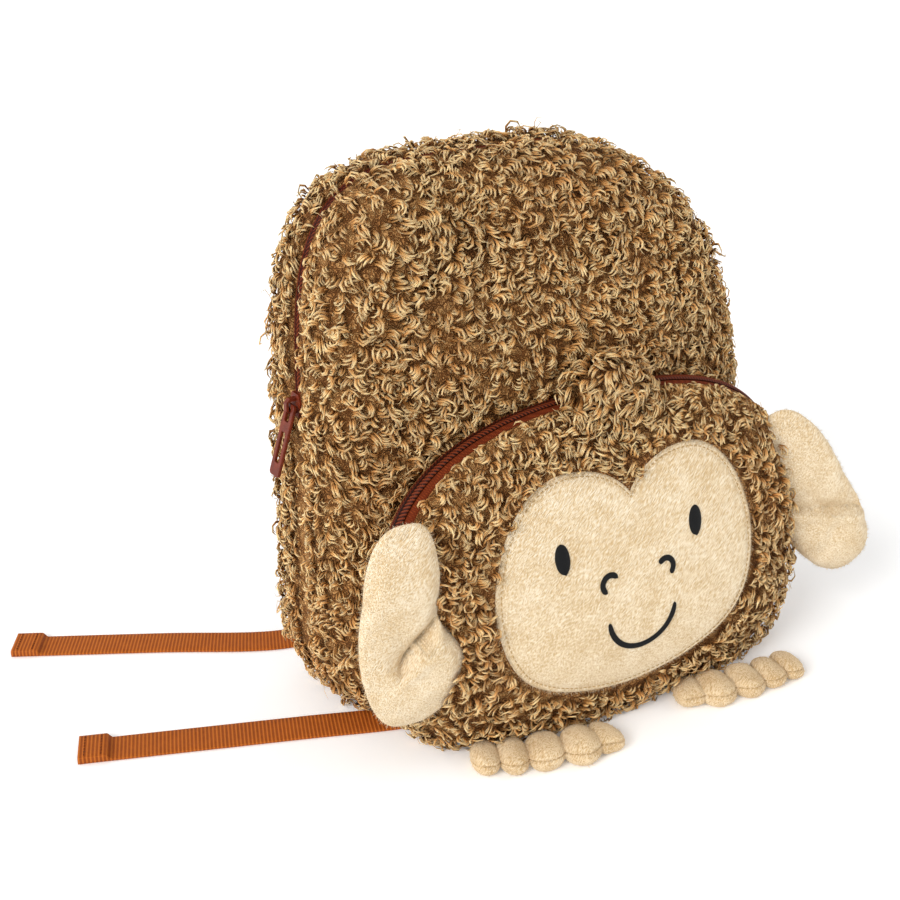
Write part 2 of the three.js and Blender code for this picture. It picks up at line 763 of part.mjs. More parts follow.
// A stuffed piece cut back to the pocket's skin and to the locks that stand proud of it.
function clearOfPile(stuffed, step) {
  const walls = ["pocket_front", "pocket_gusset_base"].map((name) => pocket.getObjectByName(name));
  return walls.reduce((left, mesh) => {
    return left.subtract(solid(mesh.geometry).translate(step));
  }, stuffed.subtract(POCKET_SKIN));
}

function ears() {
  EARS.forEach(({ name, side, x, y, z, halfWide, halfTall, turn, tilt }) => {
    const shape = (angle, reach, face) => {
      const radius = reach * superRadius(radians(angle), halfWide, halfTall, 2.2);
      const across = radius * Math.cos(radians(angle));
      const up = radius * Math.sin(radians(angle));
      const drawn = across < 0 ? 1 - PLEATS[name].nip * THREE.MathUtils.smoothstep(up, -15, 8) : 1;
      const out = halfWide + across * drawn;
      const swell = face * EAR_THICK * (1 - reach ** 2.4) ** 0.5;
      return new THREE.Vector3(side * out, pleat(PLEATS[name], out, up) - swell, up);
    };
    const place = new THREE.Matrix4()
      .makeTranslation(x, y, z)
      .multiply(new THREE.Matrix4().makeRotationZ(radians(side * turn)))
      .multiply(new THREE.Matrix4().makeRotationY(radians(tilt)));
    const ear = solid(pillow(shape, 26, 4).applyMatrix4(place));
    const cut = clearOfPile(ear, [side * GAP, -GAP, 0]).subtract(BAG_BLOCK);
    piece(pocket, name, geometryOf(largest(cut)), CREAM_VELVET);
  });
}

// The largest of the bodies that a cut leaves.
function largest(made) {
  return made.decompose().reduce((most, next) => (next.volume() > most.volume() ? next : most));
}

function feet() {
  const floor = solid(new THREE.BoxGeometry(400, 400, 40).translate(0, 0, -20));
  FEET.forEach(({ name, side, x, y, turn }) => {
    const place = new THREE.Matrix4()
      .makeTranslation(x, y, 0)
      .multiply(new THREE.Matrix4().makeRotationZ(radians(turn)));
    const toes = TOES.map(({ along, forward, wide, long, tall }) => {
      const ball = new THREE.SphereGeometry(1, 8, 5).rotateX(Math.PI / 2).scale(wide, long, tall);
      return ball.translate(-side * along, -forward, tall * 0.82).applyMatrix4(place);
    });
    const cut = clearOfPile(fused(toes), [0, -GAP, -GAP]).subtract(BAG_BLOCK).subtract(floor);
    piece(pocket, name, geometryOf(largest(cut)), CREAM_VELVET);
  });
}

function hairTuft() {
  const head = new THREE.SphereGeometry(1, 9, 6).rotateX(Math.PI / 2);
  head.scale(TUFT.halfWide, TUFT.halfDeep, TUFT.halfTall);
  const locks = Array.from({ length: TUFT.locks }, (_, i) => {
    const share = i / (TUFT.locks - 1) - 0.5;
    const lock = new THREE.SphereGeometry(1, 6, 4).rotateX(Math.PI / 2);
    lock.scale(6, 5, 11).rotateX(radians(i % 2 ? -50 : 20)).rotateY(radians(share * 110));
    return lock.translate(share * 42, i % 2 ? -11 : 3, i % 2 ? 2 : 8);
  });
  const tuft = fused([head, ...locks].map((form) => form.translate(TUFT.x, TUFT.y, TUFT.z)));
  const cut = tuft.subtract(POCKET_BLOCK).subtract(BAG_BLOCK);
  piece(pocket, "hair_tuft", geometryOf(largest(cut)), CURLY_PILE);
}

// Straps

const straps = new THREE.Group();
backpack.add(straps);

// A flat band along a path whose rows hold points, the way its width points, and its half width and
// thickness where they change. Its lower face follows the path, and it stays above the floor.
function band(rows, steps, size) {
  const path = new THREE.CatmullRomCurve3(rows.map(({ x, y, z }) => new THREE.Vector3(x, y, z)));
  const turns = new THREE.CatmullRomCurve3(rows.map(({ across }) => new THREE.Vector3(across, 0, 0)));
  const sections = Array.from({ length: steps + 1 }, (_, i) => {
    const share = path.getUtoTmapping(i / steps);
    const middle = path.getPoint(share);
    middle.z = Math.max(middle.z, WEB_THICK / 2);
    const across = radians(turns.getPoint(share).x);
    const width = new THREE.Vector3(Math.cos(across), Math.sin(across), 0);
    const rise = new THREE.Vector3().crossVectors(width, path.getTangent(share)).normalize();
    const { halfWide, foot, top } = size(i / steps, share, path.getLength());
    const corner = (side, lift) => middle.clone().addScaledVector(width, side).addScaledVector(rise, lift);
    return [
      corner(-halfWide, foot),
      corner(halfWide, foot),
      corner(halfWide, top),
      corner(-halfWide, top),
    ];
  });
  return loft(sections);
}

// A tail of webbing. The folded hem at its free end lies under it, so that it rises over the hem.
function tail(rows, grow = 0) {
  return band(rows, 28, (share, _, length) => {
    const left = (1 - share) * length;
    const hem = 1 - THREE.MathUtils.smoothstep(left, HEM_LENGTH, HEM_LENGTH + 3);
    const halfThick = WEB_THICK / 2 + grow;
    const top = halfThick + hem * (HEM_THICK - WEB_THICK);
    return { halfWide: WEB_WIDTH / 2 + grow, foot: -halfThick, top };
  });
}

// Puts rows that are measured off the back panel in place on one side.
function behind(rows, x) {
  return rows.map(({ z, off }) => ({ x, y: bagFace(x, z, -1) + off, z, across: 0 }));
}

function shoulderStrap(name, x) {
  const rows = STRAP_PATH.map((row, i) => ({ ...row, i }));
  const pad = band(behind(STRAP_PATH, x), 18, (_, at) => {
    const row = at * (rows.length - 1);
    return { halfWide: column(rows, "i", "half", row), foot: 0, top: column(rows, "i", "thick", row) };
  });
  piece(straps, `shoulder_strap_${name}`, pad, BROWN_CLOTH);

  const { halfWide, halfTall, thick, bar } = ADJUSTER;
  const ladder = rectangle(-halfWide, halfWide, -halfTall, halfTall);
  const wide = halfWide - bar;
  ladder.holes.push(rectangle(-wide, wide, -halfTall + bar, -bar / 2, THREE.Path));
  ladder.holes.push(rectangle(-wide, wide, bar / 2, halfTall - bar, THREE.Path));
  const adjuster = plate(ladder, -thick / 2, thick / 2).rotateX(Math.PI / 2);
  adjuster.translate(x, bagFace(x, ADJUSTER.z, -1) + ADJUSTER.off, ADJUSTER.z);
  piece(straps, `strap_adjuster_${name}`, adjuster, MATTE_PLASTIC);

  const web = band(behind(LOWER_WEB, x), 8, () => ({
    halfWide: WEB_WIDTH / 2,
    foot: -WEB_THICK / 2,
    top: WEB_THICK / 2,
  }));
  piece(straps, `lower_web_${name}`, web, BROWN_WEB);
}

const leftTail = tail(TAIL_LEFT);
const channel = solid(tail(TAIL_LEFT, GAP));
bagPanels();
bagGusset(channel);
bagZip();
bagSlider();
pocketPanels(channel);
pocketZip();
facePatch();
stitchedFace();
ears();
feet();
hairTuft();
shoulderStrap("left", -STRAP_X);
shoulderStrap("right", STRAP_X);
piece(straps, "strap_tail_left", leftTail, BROWN_WEB);
piece(straps, "strap_tail_right", tail(TAIL_RIGHT), BROWN_WEB);

export default backpack;
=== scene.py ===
"""A toddler's plush monkey backpack: curly pile, velvet face, ears and feet, zips and webbing straps."""
import json
import logging
from dataclasses import dataclass, field
from enum import Enum
from typing import Callable

import bmesh
import bpy
import numpy as np
from mathutils import Matrix, Vector


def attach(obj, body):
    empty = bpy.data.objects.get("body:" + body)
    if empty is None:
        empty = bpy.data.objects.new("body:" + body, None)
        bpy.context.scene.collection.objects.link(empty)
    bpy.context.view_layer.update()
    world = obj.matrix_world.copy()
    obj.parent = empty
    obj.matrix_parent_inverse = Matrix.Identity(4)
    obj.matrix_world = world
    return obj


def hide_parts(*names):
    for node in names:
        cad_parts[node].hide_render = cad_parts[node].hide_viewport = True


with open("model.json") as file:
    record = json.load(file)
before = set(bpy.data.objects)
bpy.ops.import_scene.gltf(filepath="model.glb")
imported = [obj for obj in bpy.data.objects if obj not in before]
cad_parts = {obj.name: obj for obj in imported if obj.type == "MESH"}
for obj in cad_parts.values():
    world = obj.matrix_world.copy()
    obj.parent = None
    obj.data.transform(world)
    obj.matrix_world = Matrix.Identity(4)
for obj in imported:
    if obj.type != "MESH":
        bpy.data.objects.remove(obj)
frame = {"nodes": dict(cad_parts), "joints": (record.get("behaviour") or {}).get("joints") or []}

LOG = logging.getLogger("plush_backpack")
MM = 0.001  # shapes are worked out in millimetres
SEED = 7
FLOOR_CLEARANCE = 0.3

Array = np.ndarray
Skin = Callable[[Array, Array, float], Array]
Test = Callable[[Array], Array]


# Small tools for arrays


def unit(vectors: Array) -> Array:
    """Vectors scaled to length one."""
    return vectors / np.maximum(np.linalg.norm(vectors, axis=-1, keepdims=True), 1e-9)


def smoothstep(value: Array, low: float, high: float) -> Array:
    """A smooth rise from 0 at low to 1 at high."""
    share = np.clip((value - low) / (high - low), 0, 1)
    return share * share * (3 - 2 * share)


def signed_power(value: Array, power: float) -> Array:
    """A power of the value's size, with the value's sign."""
    return np.sign(value) * np.abs(value) ** power


def super_radius(angle: Array, wide: Array, high: Array, power: Array) -> Array:
    """Radius of a superellipse along an angle: ((cos/wide)^p + (sin/high)^p)^(-1/p)."""
    across = np.abs(np.cos(angle)) / wide
    up = np.abs(np.sin(angle)) / high
    return (across**power + up**power) ** (-1 / power)


def column(keys: Array, values: Array, at: Array) -> Array:
    """Reads a table's column on a smooth cubic curve through its rows.

    Args:
        keys: the rows' places, rising.
        values: the column's values.
        at: where to read it. Places past the ends read the end rows.

    Returns:
        The values there, from Hermite pieces whose slopes are those of the neighbouring rows.
    """
    low = np.r_[0, np.arange(len(keys) - 1)]
    high = np.r_[np.arange(1, len(keys)), len(keys) - 1]
    slopes = (values[high] - values[low]) / (keys[high] - keys[low])
    i = np.clip(np.searchsorted(keys, at, side="right") - 1, 0, len(keys) - 2)
    span = keys[i + 1] - keys[i]
    t = np.clip((at - keys[i]) / span, 0, 1)
    rest = 1 - t
    ends = values[i] * (1 + 2 * t) * rest**2 + values[i + 1] * (3 - 2 * t) * t**2
    return ends + span * t * rest * (slopes[i] * rest - slopes[i + 1] * t)


def spline(points: Array, share: Array) -> Array:
    """Points along a smooth centripetal curve through others.

    Args:
        points: the curve's points, one row each.
        share: places along it, from 0 to 1, with equal shares between points.

    Returns:
        Hermite pieces with centripetal slopes, one row for each share.
    """
    padded = np.vstack([2 * points[0] - points[1], points, 2 * points[-1] - points[-2]])
    last = len(points) - 2
    i = np.clip((share * (last + 1)).astype(int), 0, last)
    t = (share * (last + 1) - i)[:, None]
    before, start, end, after = (padded[i + k] for k in range(4))
    gap = [np.sqrt(np.linalg.norm(b - a, axis=1, keepdims=True)) for a, b in
           ((before, start), (start, end), (end, after))]
    leave = (start - before) / gap[0] - (end - before) / (gap[0] + gap[1]) + (end - start) / gap[1]
    arrive = (end - start) / gap[1] - (after - start) / (gap[1] + gap[2]) + (after - end) / gap[2]
    leave, arrive = leave * gap[1], arrive * gap[1]
    return (
        (2 * t**3 - 3 * t**2 + 1) * start
        + (t**3 - 2 * t**2 + t) * leave
        + (3 * t**2 - 2 * t**3) * end
        + (t**3 - t**2) * arrive
    )


def run_along(points: Array) -> Array:
    """How far along a line each of its points is."""
    return np.r_[0, np.cumsum(np.linalg.norm(np.diff(points, axis=0), axis=1))]


def even_shares(points: Array, count: int) -> Array:
    """Shares along a spline that are evenly spaced by length."""
    fine = np.linspace(0, 1, 600)
    run = run_along(spline(points, fine))
    return np.interp(np.linspace(0, run[-1], count), run, fine)


def grid_quads(rows: int, cols: int, wrap: bool = False) -> Array:
    """Quads of a grid of vertices numbered row by row, closed along its rows where wrap is true."""
    row = np.arange(rows - 1)[:, None]
    col = np.arange(cols if wrap else cols - 1)[None, :]
    after = (col + 1) % cols
    corners = [row * cols + col, row * cols + after, (row + 1) * cols + after, (row + 1) * cols + col]
    return np.stack(corners, -1).reshape(-1, 4)


@dataclass
class Shape:
    """Points in millimetres, the faces between them, and values carried at each point."""

    points: Array
    faces: list[Array]
    layers: dict[str, Array] = field(default_factory=dict)
    bake: Array | None = None

    def outward(self) -> "Shape":
        """Turns all faces round if they enclose a negative volume."""
        volume = 0.0
        for faces in self.faces:
            corners = [self.points[faces[:, k]] for k in range(faces.shape[1])]
            for b, c in zip(corners[1:], corners[2:]):
                volume += np.einsum("ij,ij->", corners[0], np.cross(b, c))
        if volume < 0:
            self.faces = [faces[:, ::-1] for faces in self.faces]
        return self


def capped(rings: Array, tips: Array) -> Shape:
    """A closed form: rings of points, row by row, with a tip that closes the first and one for the last."""
    rows, cols = rings.shape[:2]
    ring = np.arange(cols + 1) % cols
    far = (rows - 1) * cols + ring
    caps = [np.stack([ring[1:], ring[:-1], np.full(cols, rows * cols)], -1),
            np.stack([far[:-1], far[1:], np.full(cols, rows * cols + 1)], -1)]
    points = np.concatenate([rings.reshape(-1, 3), tips])
    return Shape(points, [grid_quads(rows, cols, True), np.concatenate(caps)]).outward()


# Finishes


def linear(color: str) -> tuple[float, float, float, float]:
    """A hex sRGB colour as linear red, green, blue and alpha."""
    parts = np.array([int(color[k:k + 2], 16) for k in (1, 3, 5)]) / 255
    light = np.where(parts <= 0.04045, parts / 12.92, ((parts + 0.055) / 1.055) ** 2.4)
    return (*light.tolist(), 1.0)


def wave_scale(pitch: float) -> float:
    """Scale of a band pattern whose bands repeat every so many millimetres."""
    return 2 * np.pi / (20 * pitch * MM)


def noise_scale(size: float) -> float:
    """Scale of a noise whose grains are about so many millimetres."""
    return 1 / (size * MM)


@dataclass
class Shader:
    """A material's node tree while it is put together."""

    material: bpy.types.Material

    @classmethod
    def named(cls, name: str) -> "Shader":
        """A new, empty material of that name."""
        material = bpy.data.materials.new(name)
        material.use_nodes = True
        material.node_tree.nodes.clear()
        return cls(material)

    def node(self, kind: str, inputs: dict | None = None, ramp: dict | None = None,
             **settings: object) -> bpy.types.Node:
        """Adds a node with its settings and links.

        Args:
            kind: the node's type without its ShaderNode prefix.
            inputs: values, sockets or nodes, by name or number. A node gives its first output.
            ramp: hex colours by place, for a colour ramp.
            settings: the node's own properties.

        Returns:
            The new node.
        """
        tree = self.material.node_tree
        made = tree.nodes.new("ShaderNode" + kind)
        for name, value in settings.items():
            setattr(made, name, value)
        for name, value in (inputs or {}).items():
            if isinstance(value, bpy.types.Node):
                value = value.outputs[0]
            if isinstance(value, bpy.types.NodeSocket):
                tree.links.new(value, made.inputs[name])
            else:
                made.inputs[name].default_value = value
        if ramp:
            stops = made.color_ramp.elements
            while len(stops) < len(ramp):
                stops.new(1.0)
            for stop, (place, color) in zip(stops, ramp.items()):
                stop.position = place
                stop.color = linear(color)
        return made

    def surface(self, inputs: dict) -> bpy.types.Material:
        """Ends the tree in a surface with those inputs, and returns the material."""
        shader = self.node("BsdfPrincipled", inputs)
        self.node("OutputMaterial", {"Surface": shader})
        return self.material


@dataclass(frozen=True)
class CurlyPile:
    """Acrylic teddy pile tumbled into curls: fibres side by side, with painted shade at the roots, a painted
    highlight past the middle where each curl crests, and painted shade again towards the tip.

    root is painted shade and tip a painted highlight. tones are the brightness of the darkest and of the
    palest ribbon, with painted shade on the low ones, and contrast is that of its fibres' painted lines of
    light and shade.
    sway is how far the fibres wander along a ribbon and from one to another. rusty is the largest share of
    rust, in clouds.
    """

    name: str = "curly_acrylic_pile"
    root: str = "#905E2D"
    middle: str = "#D5A063"
    tip: str = "#F3D29C"
    rust: str = "#D2A06C"
    gloss: str = "#F0D6A8"
    cloud: float = 55.0
    fibres: float = 2.0
    tones: tuple = (0.66, 1.24)
    contrast: float = 0.24
    sway: tuple = (5.0, 43.0)
    rusty: float = 0.28

    def material(self) -> bpy.types.Material:
        """The pile's material.

        along is the share of a ribbon's length, lane the place across it and tone the ribbon's own, which
        holds painted shade on low ribbons.
        """
        shader = Shader.named(self.name)
        along, tone, lane = (shader.node("Attribute", attribute_name=name).outputs["Fac"]
                             for name in ("along", "tone", "lane"))
        place = shader.node("TexCoord").outputs["Object"]
        # Painted shade at the roots, a painted highlight on the curl's crest, painted shade again at the
        # curled-under tip.
        ramp = {0.0: self.root, 0.1: self.root, 0.38: self.middle, 0.66: self.tip, 1.0: self.middle}
        color = shader.node("ValToRGB", {"Fac": along}, ramp)
        own = shader.node("Math", {0: tone, 1: self.sway[1]}, operation="MULTIPLY")
        bend = shader.node("Math", {0: along, 1: self.sway[0], 2: own}, operation="MULTIPLY_ADD")
        sway = shader.node("Math", {0: bend}, operation="SINE")
        # The fibres are painted stripes of light and shade across each ribbon.
        turns = shader.node("Math", {0: lane, 1: self.fibres * np.pi, 2: sway}, operation="MULTIPLY_ADD")
        fibre = shader.node("Math", {0: turns}, operation="SINE")
        shade = shader.node("MapRange", {"Value": tone, 3: self.tones[0], 4: self.tones[1]})
        lit = shader.node("Math", {0: fibre, 1: self.contrast, 2: shade}, operation="MULTIPLY_ADD")
        toned = shader.node("HueSaturation", {"Color": color, "Value": lit})
        cloud = shader.node("TexNoise", {"Vector": place, "Scale": noise_scale(self.cloud)})
        rust = shader.node("MapRange", {"Value": cloud, 1: 0.45, 2: 0.75, 3: 0.0, 4: self.rusty})
        mixed = shader.node("Mix", {0: rust, 6: toned, 7: linear(self.rust)},
                            data_type="RGBA", blend_type="MULTIPLY")
        bump = shader.node("Bump", {"Height": fibre, "Strength": 0.6, "Distance": 0.0003})
        return shader.surface({"Base Color": mixed.outputs[2], "Normal": bump, "Roughness": 0.7,
                               "Specular IOR Level": 0.2, "Specular Tint": linear(self.gloss),
                               "Subsurface Weight": 0.35, "Subsurface Radius": (1.0, 0.95, 0.85),
                               "Subsurface Scale": 0.001})


@dataclass(frozen=True)
class PileGround:
    """Dense foot of the pile on its knitted ground: flattened whorls of fibre, with painted shade between
    them and between their strands, and painted highlights on the strands' crests.

    A whorl's height falls from heights[0] to heights[1] between shares of the way out from its middle, and
    ridge is how far a strand stands out of that. The height sets both the bump and the colour, so that dark
    is painted shade low down and light a painted highlight on the strands' crests.
    """

    name: str = "knitted_pile_ground"
    dark: str = "#6C431F"
    middle: str = "#AA7542"
    light: str = "#D6A569"
    whorl: float = 6.0
    strand: float = 1.2
    sway: float = 3.0
    shares: tuple = (0.2, 0.75)
    heights: tuple = (0.75, 0.1)
    ridge: float = 0.34

    def material(self) -> bpy.types.Material:
        """The ground's material: rings strand apart round the cells of a swayed Voronoi pattern."""
        shader = Shader.named(self.name)
        place = shader.node("TexCoord").outputs["Object"]
        noise = shader.node("TexNoise", {"Vector": place, "Scale": noise_scale(self.sway)})
        centred = shader.node("VectorMath", {0: noise.outputs[1], 1: (0.5, 0.5, 0.5)}, operation="SUBTRACT")
        moved = shader.node("VectorMath", {0: centred, "Scale": self.sway / 500}, operation="SCALE")
        swayed = shader.node("VectorMath", {0: place, 1: moved}, operation="ADD")
        cells = shader.node("TexVoronoi", {"Vector": swayed, "Scale": noise_scale(self.whorl)})
        turns = 2 * np.pi * self.whorl / self.strand
        ring = shader.node("Math", {0: cells.outputs["Distance"], 1: turns}, operation="MULTIPLY")
        strand = shader.node("Math", {0: ring}, operation="SINE")
        reach = {"Value": cells.outputs["Distance"], 1: self.shares[0], 2: self.shares[1]}
        depth = shader.node("MapRange", {**reach, 3: self.heights[0], 4: self.heights[1]})
        mixed = shader.node("Math", {0: strand, 1: self.ridge, 2: depth}, operation="MULTIPLY_ADD")
        # Painted shade where the whorls are low, painted highlight on the strands' crests.
        ramp = {0.1: self.dark, 0.5: self.middle, 0.9: self.light}
        color = shader.node("ValToRGB", {"Fac": mixed}, ramp)
        bump = shader.node("Bump", {"Height": mixed, "Strength": 0.9, "Distance": 0.002})
        return shader.surface({"Base Color": color, "Normal": bump, "Roughness": 0.9,
                               "Specular IOR Level": 0.15})


@dataclass(frozen=True)
class CreamPlush:
    """Short cut polyester plush, brushed: soft edges, a faint nap and a pale sheen at grazing angles."""

    name: str = "short_cream_plush"
    base: str = "#E5CDA6"
    shade: str = "#CFB083"
    pale: str = "#F6E6CB"
    fibre: float = 0.45
    streak: float = 6.5
    cloud: float = 14.0
    stroked: float = 0.3
    lie: tuple = (0.0, 0.9, 0.3)
    sheen: str = "#FFF3DC"

    def material(self) -> bpy.types.Material:
        """The plush's material: streaks of nap, soft clouds where it was stroked, and fine bump."""
        shader = Shader.named(self.name)
        place = shader.node("TexCoord").outputs["Object"]
        nap = shader.node("Mapping", {"Vector": place, "Scale": (1.0, 1.0, self.streak),
                                      "Rotation": self.lie}, vector_type="TEXTURE")
        fibre = shader.node("TexNoise", {"Vector": nap, "Scale": noise_scale(self.fibre),
                                         "Detail": 1.5, "Roughness": 0.5, "Distortion": 0.1})
        cloud = shader.node("TexNoise", {"Vector": place, "Scale": noise_scale(self.cloud),
                                         "Detail": 2.0})
        mixed = shader.node("Math", {0: cloud, 1: self.stroked, 2: fibre}, operation="MULTIPLY_ADD")
        ramp = {0.5: self.shade, 0.64: self.base, 0.78: self.pale}
        color = shader.node("ValToRGB", {"Fac": mixed}, ramp)
        bump = shader.node("Bump", {"Height": fibre, "Strength": 0.8, "Distance": 0.001})
        return shader.surface({"Base Color": color, "Normal": bump, "Roughness": 0.9,
                               "Specular IOR Level": 0.2, "Sheen Weight": 0.35, "Sheen Roughness": 0.4,
                               "Sheen Tint": linear(self.sheen)})


@dataclass(frozen=True)
class WovenCloth:
    """Plain woven polyester: matt, with a fine square weave of two yarn directions and painted shade between
    the yarns.
    """

    name: str
    light: str
    dark: str
    pitch: float = 1.3
    wear: float = 14.0

    def material(self) -> bpy.types.Material:
        """The cloth's material. Its yarns run along X and along Z, as the back panel hangs."""
        shader = Shader.named(self.name)
        place = shader.node("TexCoord").outputs["Object"]
        waves = [
            shader.node("TexWave", {"Vector": place, "Scale": wave_scale(self.pitch)},
                        bands_direction=way)
            for way in ("X", "Z")
        ]
        weave = shader.node("Math", {0: waves[0].outputs[1], 1: waves[1].outputs[1]}, operation="MULTIPLY")
        wear = shader.node("TexNoise", {"Vector": place, "Scale": noise_scale(self.wear)})
        height = shader.node("Math", {0: weave, 1: wear}, operation="MULTIPLY")
        # The colour is darker where the weave is low, painted shade between the yarns, and where the wear
        # noise is low.
        color = shader.node("ValToRGB", {"Fac": height}, {0.0: self.dark, 0.55: self.light})
        bump = shader.node("Bump", {"Height": weave, "Strength": 0.5, "Distance": 0.0004})
        return shader.surface({"Base Color": color, "Normal": bump, "Roughness": 0.85,
                               "Specular IOR Level": 0.12})


@dataclass(frozen=True)
class Webbing:
    """Ribbed polypropylene webbing: woven across in close ribs, with a slight gloss on the yarns, painted
    shade in its grooves and painted highlights on its ribs.
    """

    name: str = "ribbed_webbing"
    light: str = "#C06A22"
    middle: str = "#A65318"
    dark: str = "#6E300C"
    yarn: float = 1.1
    ridge: float = 0.12
    wear: float = 5.0
    wear_and_rib_shade: float = 0.35

    def material(self) -> bpy.types.Material:
        """The webbing's material. rib is 0 in a groove and 1 on a rib, and across is in millimetres."""
        shader = Shader.named(self.name)
        rib, across = (shader.node("Attribute", attribute_name=name).outputs["Fac"]
                       for name in ("rib", "across"))
        place = shader.node("TexCoord").outputs["Object"]
        turns = shader.node("Math", {0: across, 1: 2 * np.pi / self.yarn}, operation="MULTIPLY")
        yarn = shader.node("Math", {0: turns}, operation="SINE")
        wear = shader.node("TexNoise", {"Vector": place, "Scale": noise_scale(self.wear),
                                        "Detail": 3.0})
        lift = shader.node("Math", {0: yarn, 1: self.ridge, 2: rib}, operation="MULTIPLY_ADD")
        wear_and_rib_shade = shader.node("Math", {0: wear, 1: self.wear_and_rib_shade, 2: lift}, operation="MULTIPLY_ADD")
        # The colour follows the ribs' height, painted shade in the grooves and painted highlight on the ribs,
        # with wear noise mixed in.
        ramp = {0.1: self.dark, 0.6: self.middle, 1.2 / 1.3: self.light}
        color = shader.node("ValToRGB", {"Fac": wear_and_rib_shade}, ramp)
        bump = shader.node("Bump", {"Height": lift, "Strength": 0.6, "Distance": 0.0003})
        return shader.surface({"Base Color": color, "Normal": bump, "Roughness": 0.7,
                               "Specular IOR Level": 0.2})


@dataclass(frozen=True)
class NylonCoil:
    """Extruded dyed nylon coil, with painted shade between its turns and a painted highlight along each
    turn's crest.
    """

    name: str = "nylon_coil"
    crest: str = "#7E3719"
    flank: str = "#451608"
    gap: str = "#120402"

    def material(self) -> bpy.types.Material:
        """The coil's material. rib is 0 between two turns and 1 on a turn's crest."""
        shader = Shader.named(self.name)
        rib = shader.node("Attribute", attribute_name="rib").outputs["Fac"]
        # gap is painted shade between the turns and crest a painted highlight on them.
        color = shader.node("ValToRGB", {"Fac": rib}, {0.2: self.gap, 0.6: self.flank, 0.95: self.crest})
        return shader.surface({"Base Color": color, "Roughness": 0.55, "Specular IOR Level": 0.12})


@dataclass(frozen=True)
class SmoothFinish:
    """A moulded, coated or spun surface: one colour with a faint mottle and a fine grain."""

    name: str
    base: str
    shade: str
    roughness: float
    grain: float
    bump: float = 0.1
    sheen: float = 0.0
    glow: float = 0.0

    def material(self) -> bpy.types.Material:
        """The surface's material."""
        shader = Shader.named(self.name)
        place = shader.node("TexCoord").outputs["Object"]
        grain = shader.node("TexNoise", {"Vector": place, "Scale": noise_scale(self.grain),
                                         "Detail": 3.0})
        color = shader.node("ValToRGB", {"Fac": grain}, {0.35: self.shade, 0.65: self.base})
        bump = shader.node("Bump", {"Height": grain, "Strength": self.bump, "Distance": 0.0003})
        return shader.surface({"Base Color": color, "Normal": bump,
                               "Roughness": self.roughness, "Sheen Weight": self.sheen,
                               "Specular IOR Level": 0.3, "Emission Strength": self.glow})


class Finish(Enum):
    """The backpack's finishes, each with the record's slot that it belongs to."""

    PILE = ("curly_pile", CurlyPile())
    GROUND = ("curly_pile", PileGround())
    PLUSH = ("cream_velvet", CreamPlush())
    CLOTH = ("brown_cloth", WovenCloth("plain_woven_cloth", "#8A4A26", "#5A2A12"))
    TAPE = ("brown_cloth", WovenCloth("zip_tape_weave", "#863A16", "#5E220A", 0.9))
    WEB = ("brown_web", Webbing())
    COIL = ("zip_coil", NylonCoil())
    # The feet's plush is the cream plush made darker, as painted shade.
    TOES = ("cream_velvet", CreamPlush("cream_plush_painted_shade", "#DFC297", "#C5A271", "#F0DAB6", 0.45, 5.0))
    # Die-cast zinc with baked enamel: even colour, soft satin, slightly rounded edges.
    ENAMEL = ("painted_metal", SmoothFinish("baked_enamel", "#73290F", "#5E1F0A", 0.5, 4.0, 0.05))
    # Moulded acetal: dark, satin, finely eroded mould texture.
    MOULDED = ("matte_plastic", SmoothFinish("moulded_acetal", "#4A2A1A", "#3A1E12", 0.5, 0.8, 0.15))
    # Rayon embroidery thread laid in satin stitch: black with a soft gloss.
    THREAD = ("black_thread", SmoothFinish("rayon_satin_stitch", "#0A0B0D", "#040405", 0.75, 0.7, 0.4))
    # Spun polyester sewing thread, the plush's colour a shade deeper.
    SEWING = ("cream_velvet",
              SmoothFinish("spun_sewing_thread", "#C9A873", "#A98753", 0.7, 0.8, 0.3, sheen=0.2))
    # Seamless paper sweep.
    FLOOR = ("", SmoothFinish("white_paper_sweep", "#FFFFFF", "#FDFDFC", 0.95, 40.0, 0.0, glow=0.1))

    @property
    def material(self) -> bpy.types.Material:
        """The finish's material, made at its first use."""
        look = self.value[1]
        return bpy.data.materials.get(look.name) or look.material()


def add_object(name: str, data: bpy.types.ID) -> bpy.types.Object:
    """Puts a mesh, a curve, a lamp or a camera into the scene."""
    made = bpy.data.objects.new(name, data)
    bpy.context.scene.collection.objects.link(made)
    return made


def add_piece(name: str, shape: Shape, finish: Finish, *nodes: str) -> bpy.types.Object:
    """Puts a shape into the scene as a piece of the backpack.

    Args:
        name: the piece's name.
        shape: its points and faces.
        finish: its finish.
        nodes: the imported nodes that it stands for.

    Returns:
        The new object.
    """
    mesh = bpy.data.meshes.new(name)
    corners = np.concatenate([faces.ravel() for faces in shape.faces]).astype(np.int32)
    sides = np.concatenate([np.full(len(faces), faces.shape[1]) for faces in shape.faces])
    mesh.vertices.add(len(shape.points))
    mesh.vertices.foreach_set("co", (shape.points * MM).astype(np.float32).ravel())
    mesh.loops.add(len(corners))
    mesh.loops.foreach_set("vertex_index", corners)
    mesh.polygons.add(len(sides))
    mesh.polygons.foreach_set("loop_start", np.r_[0, np.cumsum(sides)[:-1]].astype(np.int32))
    mesh.update(calc_edges=True)
    for layer, values in shape.layers.items():
        attribute = mesh.attributes.new(layer, "FLOAT", "POINT")
        attribute.data.foreach_set("value", values.astype(np.float32).ravel())
    if shape.bake is not None:
        chart = mesh.uv_layers.new(name="OFBake")
        chart.data.foreach_set("uv", shape.bake[corners].astype(np.float32).ravel())
    mesh.polygons.foreach_set("use_smooth", np.ones(len(sides), bool))
    mesh.validate()
    return enlist(add_object(name, mesh), finish, *nodes)


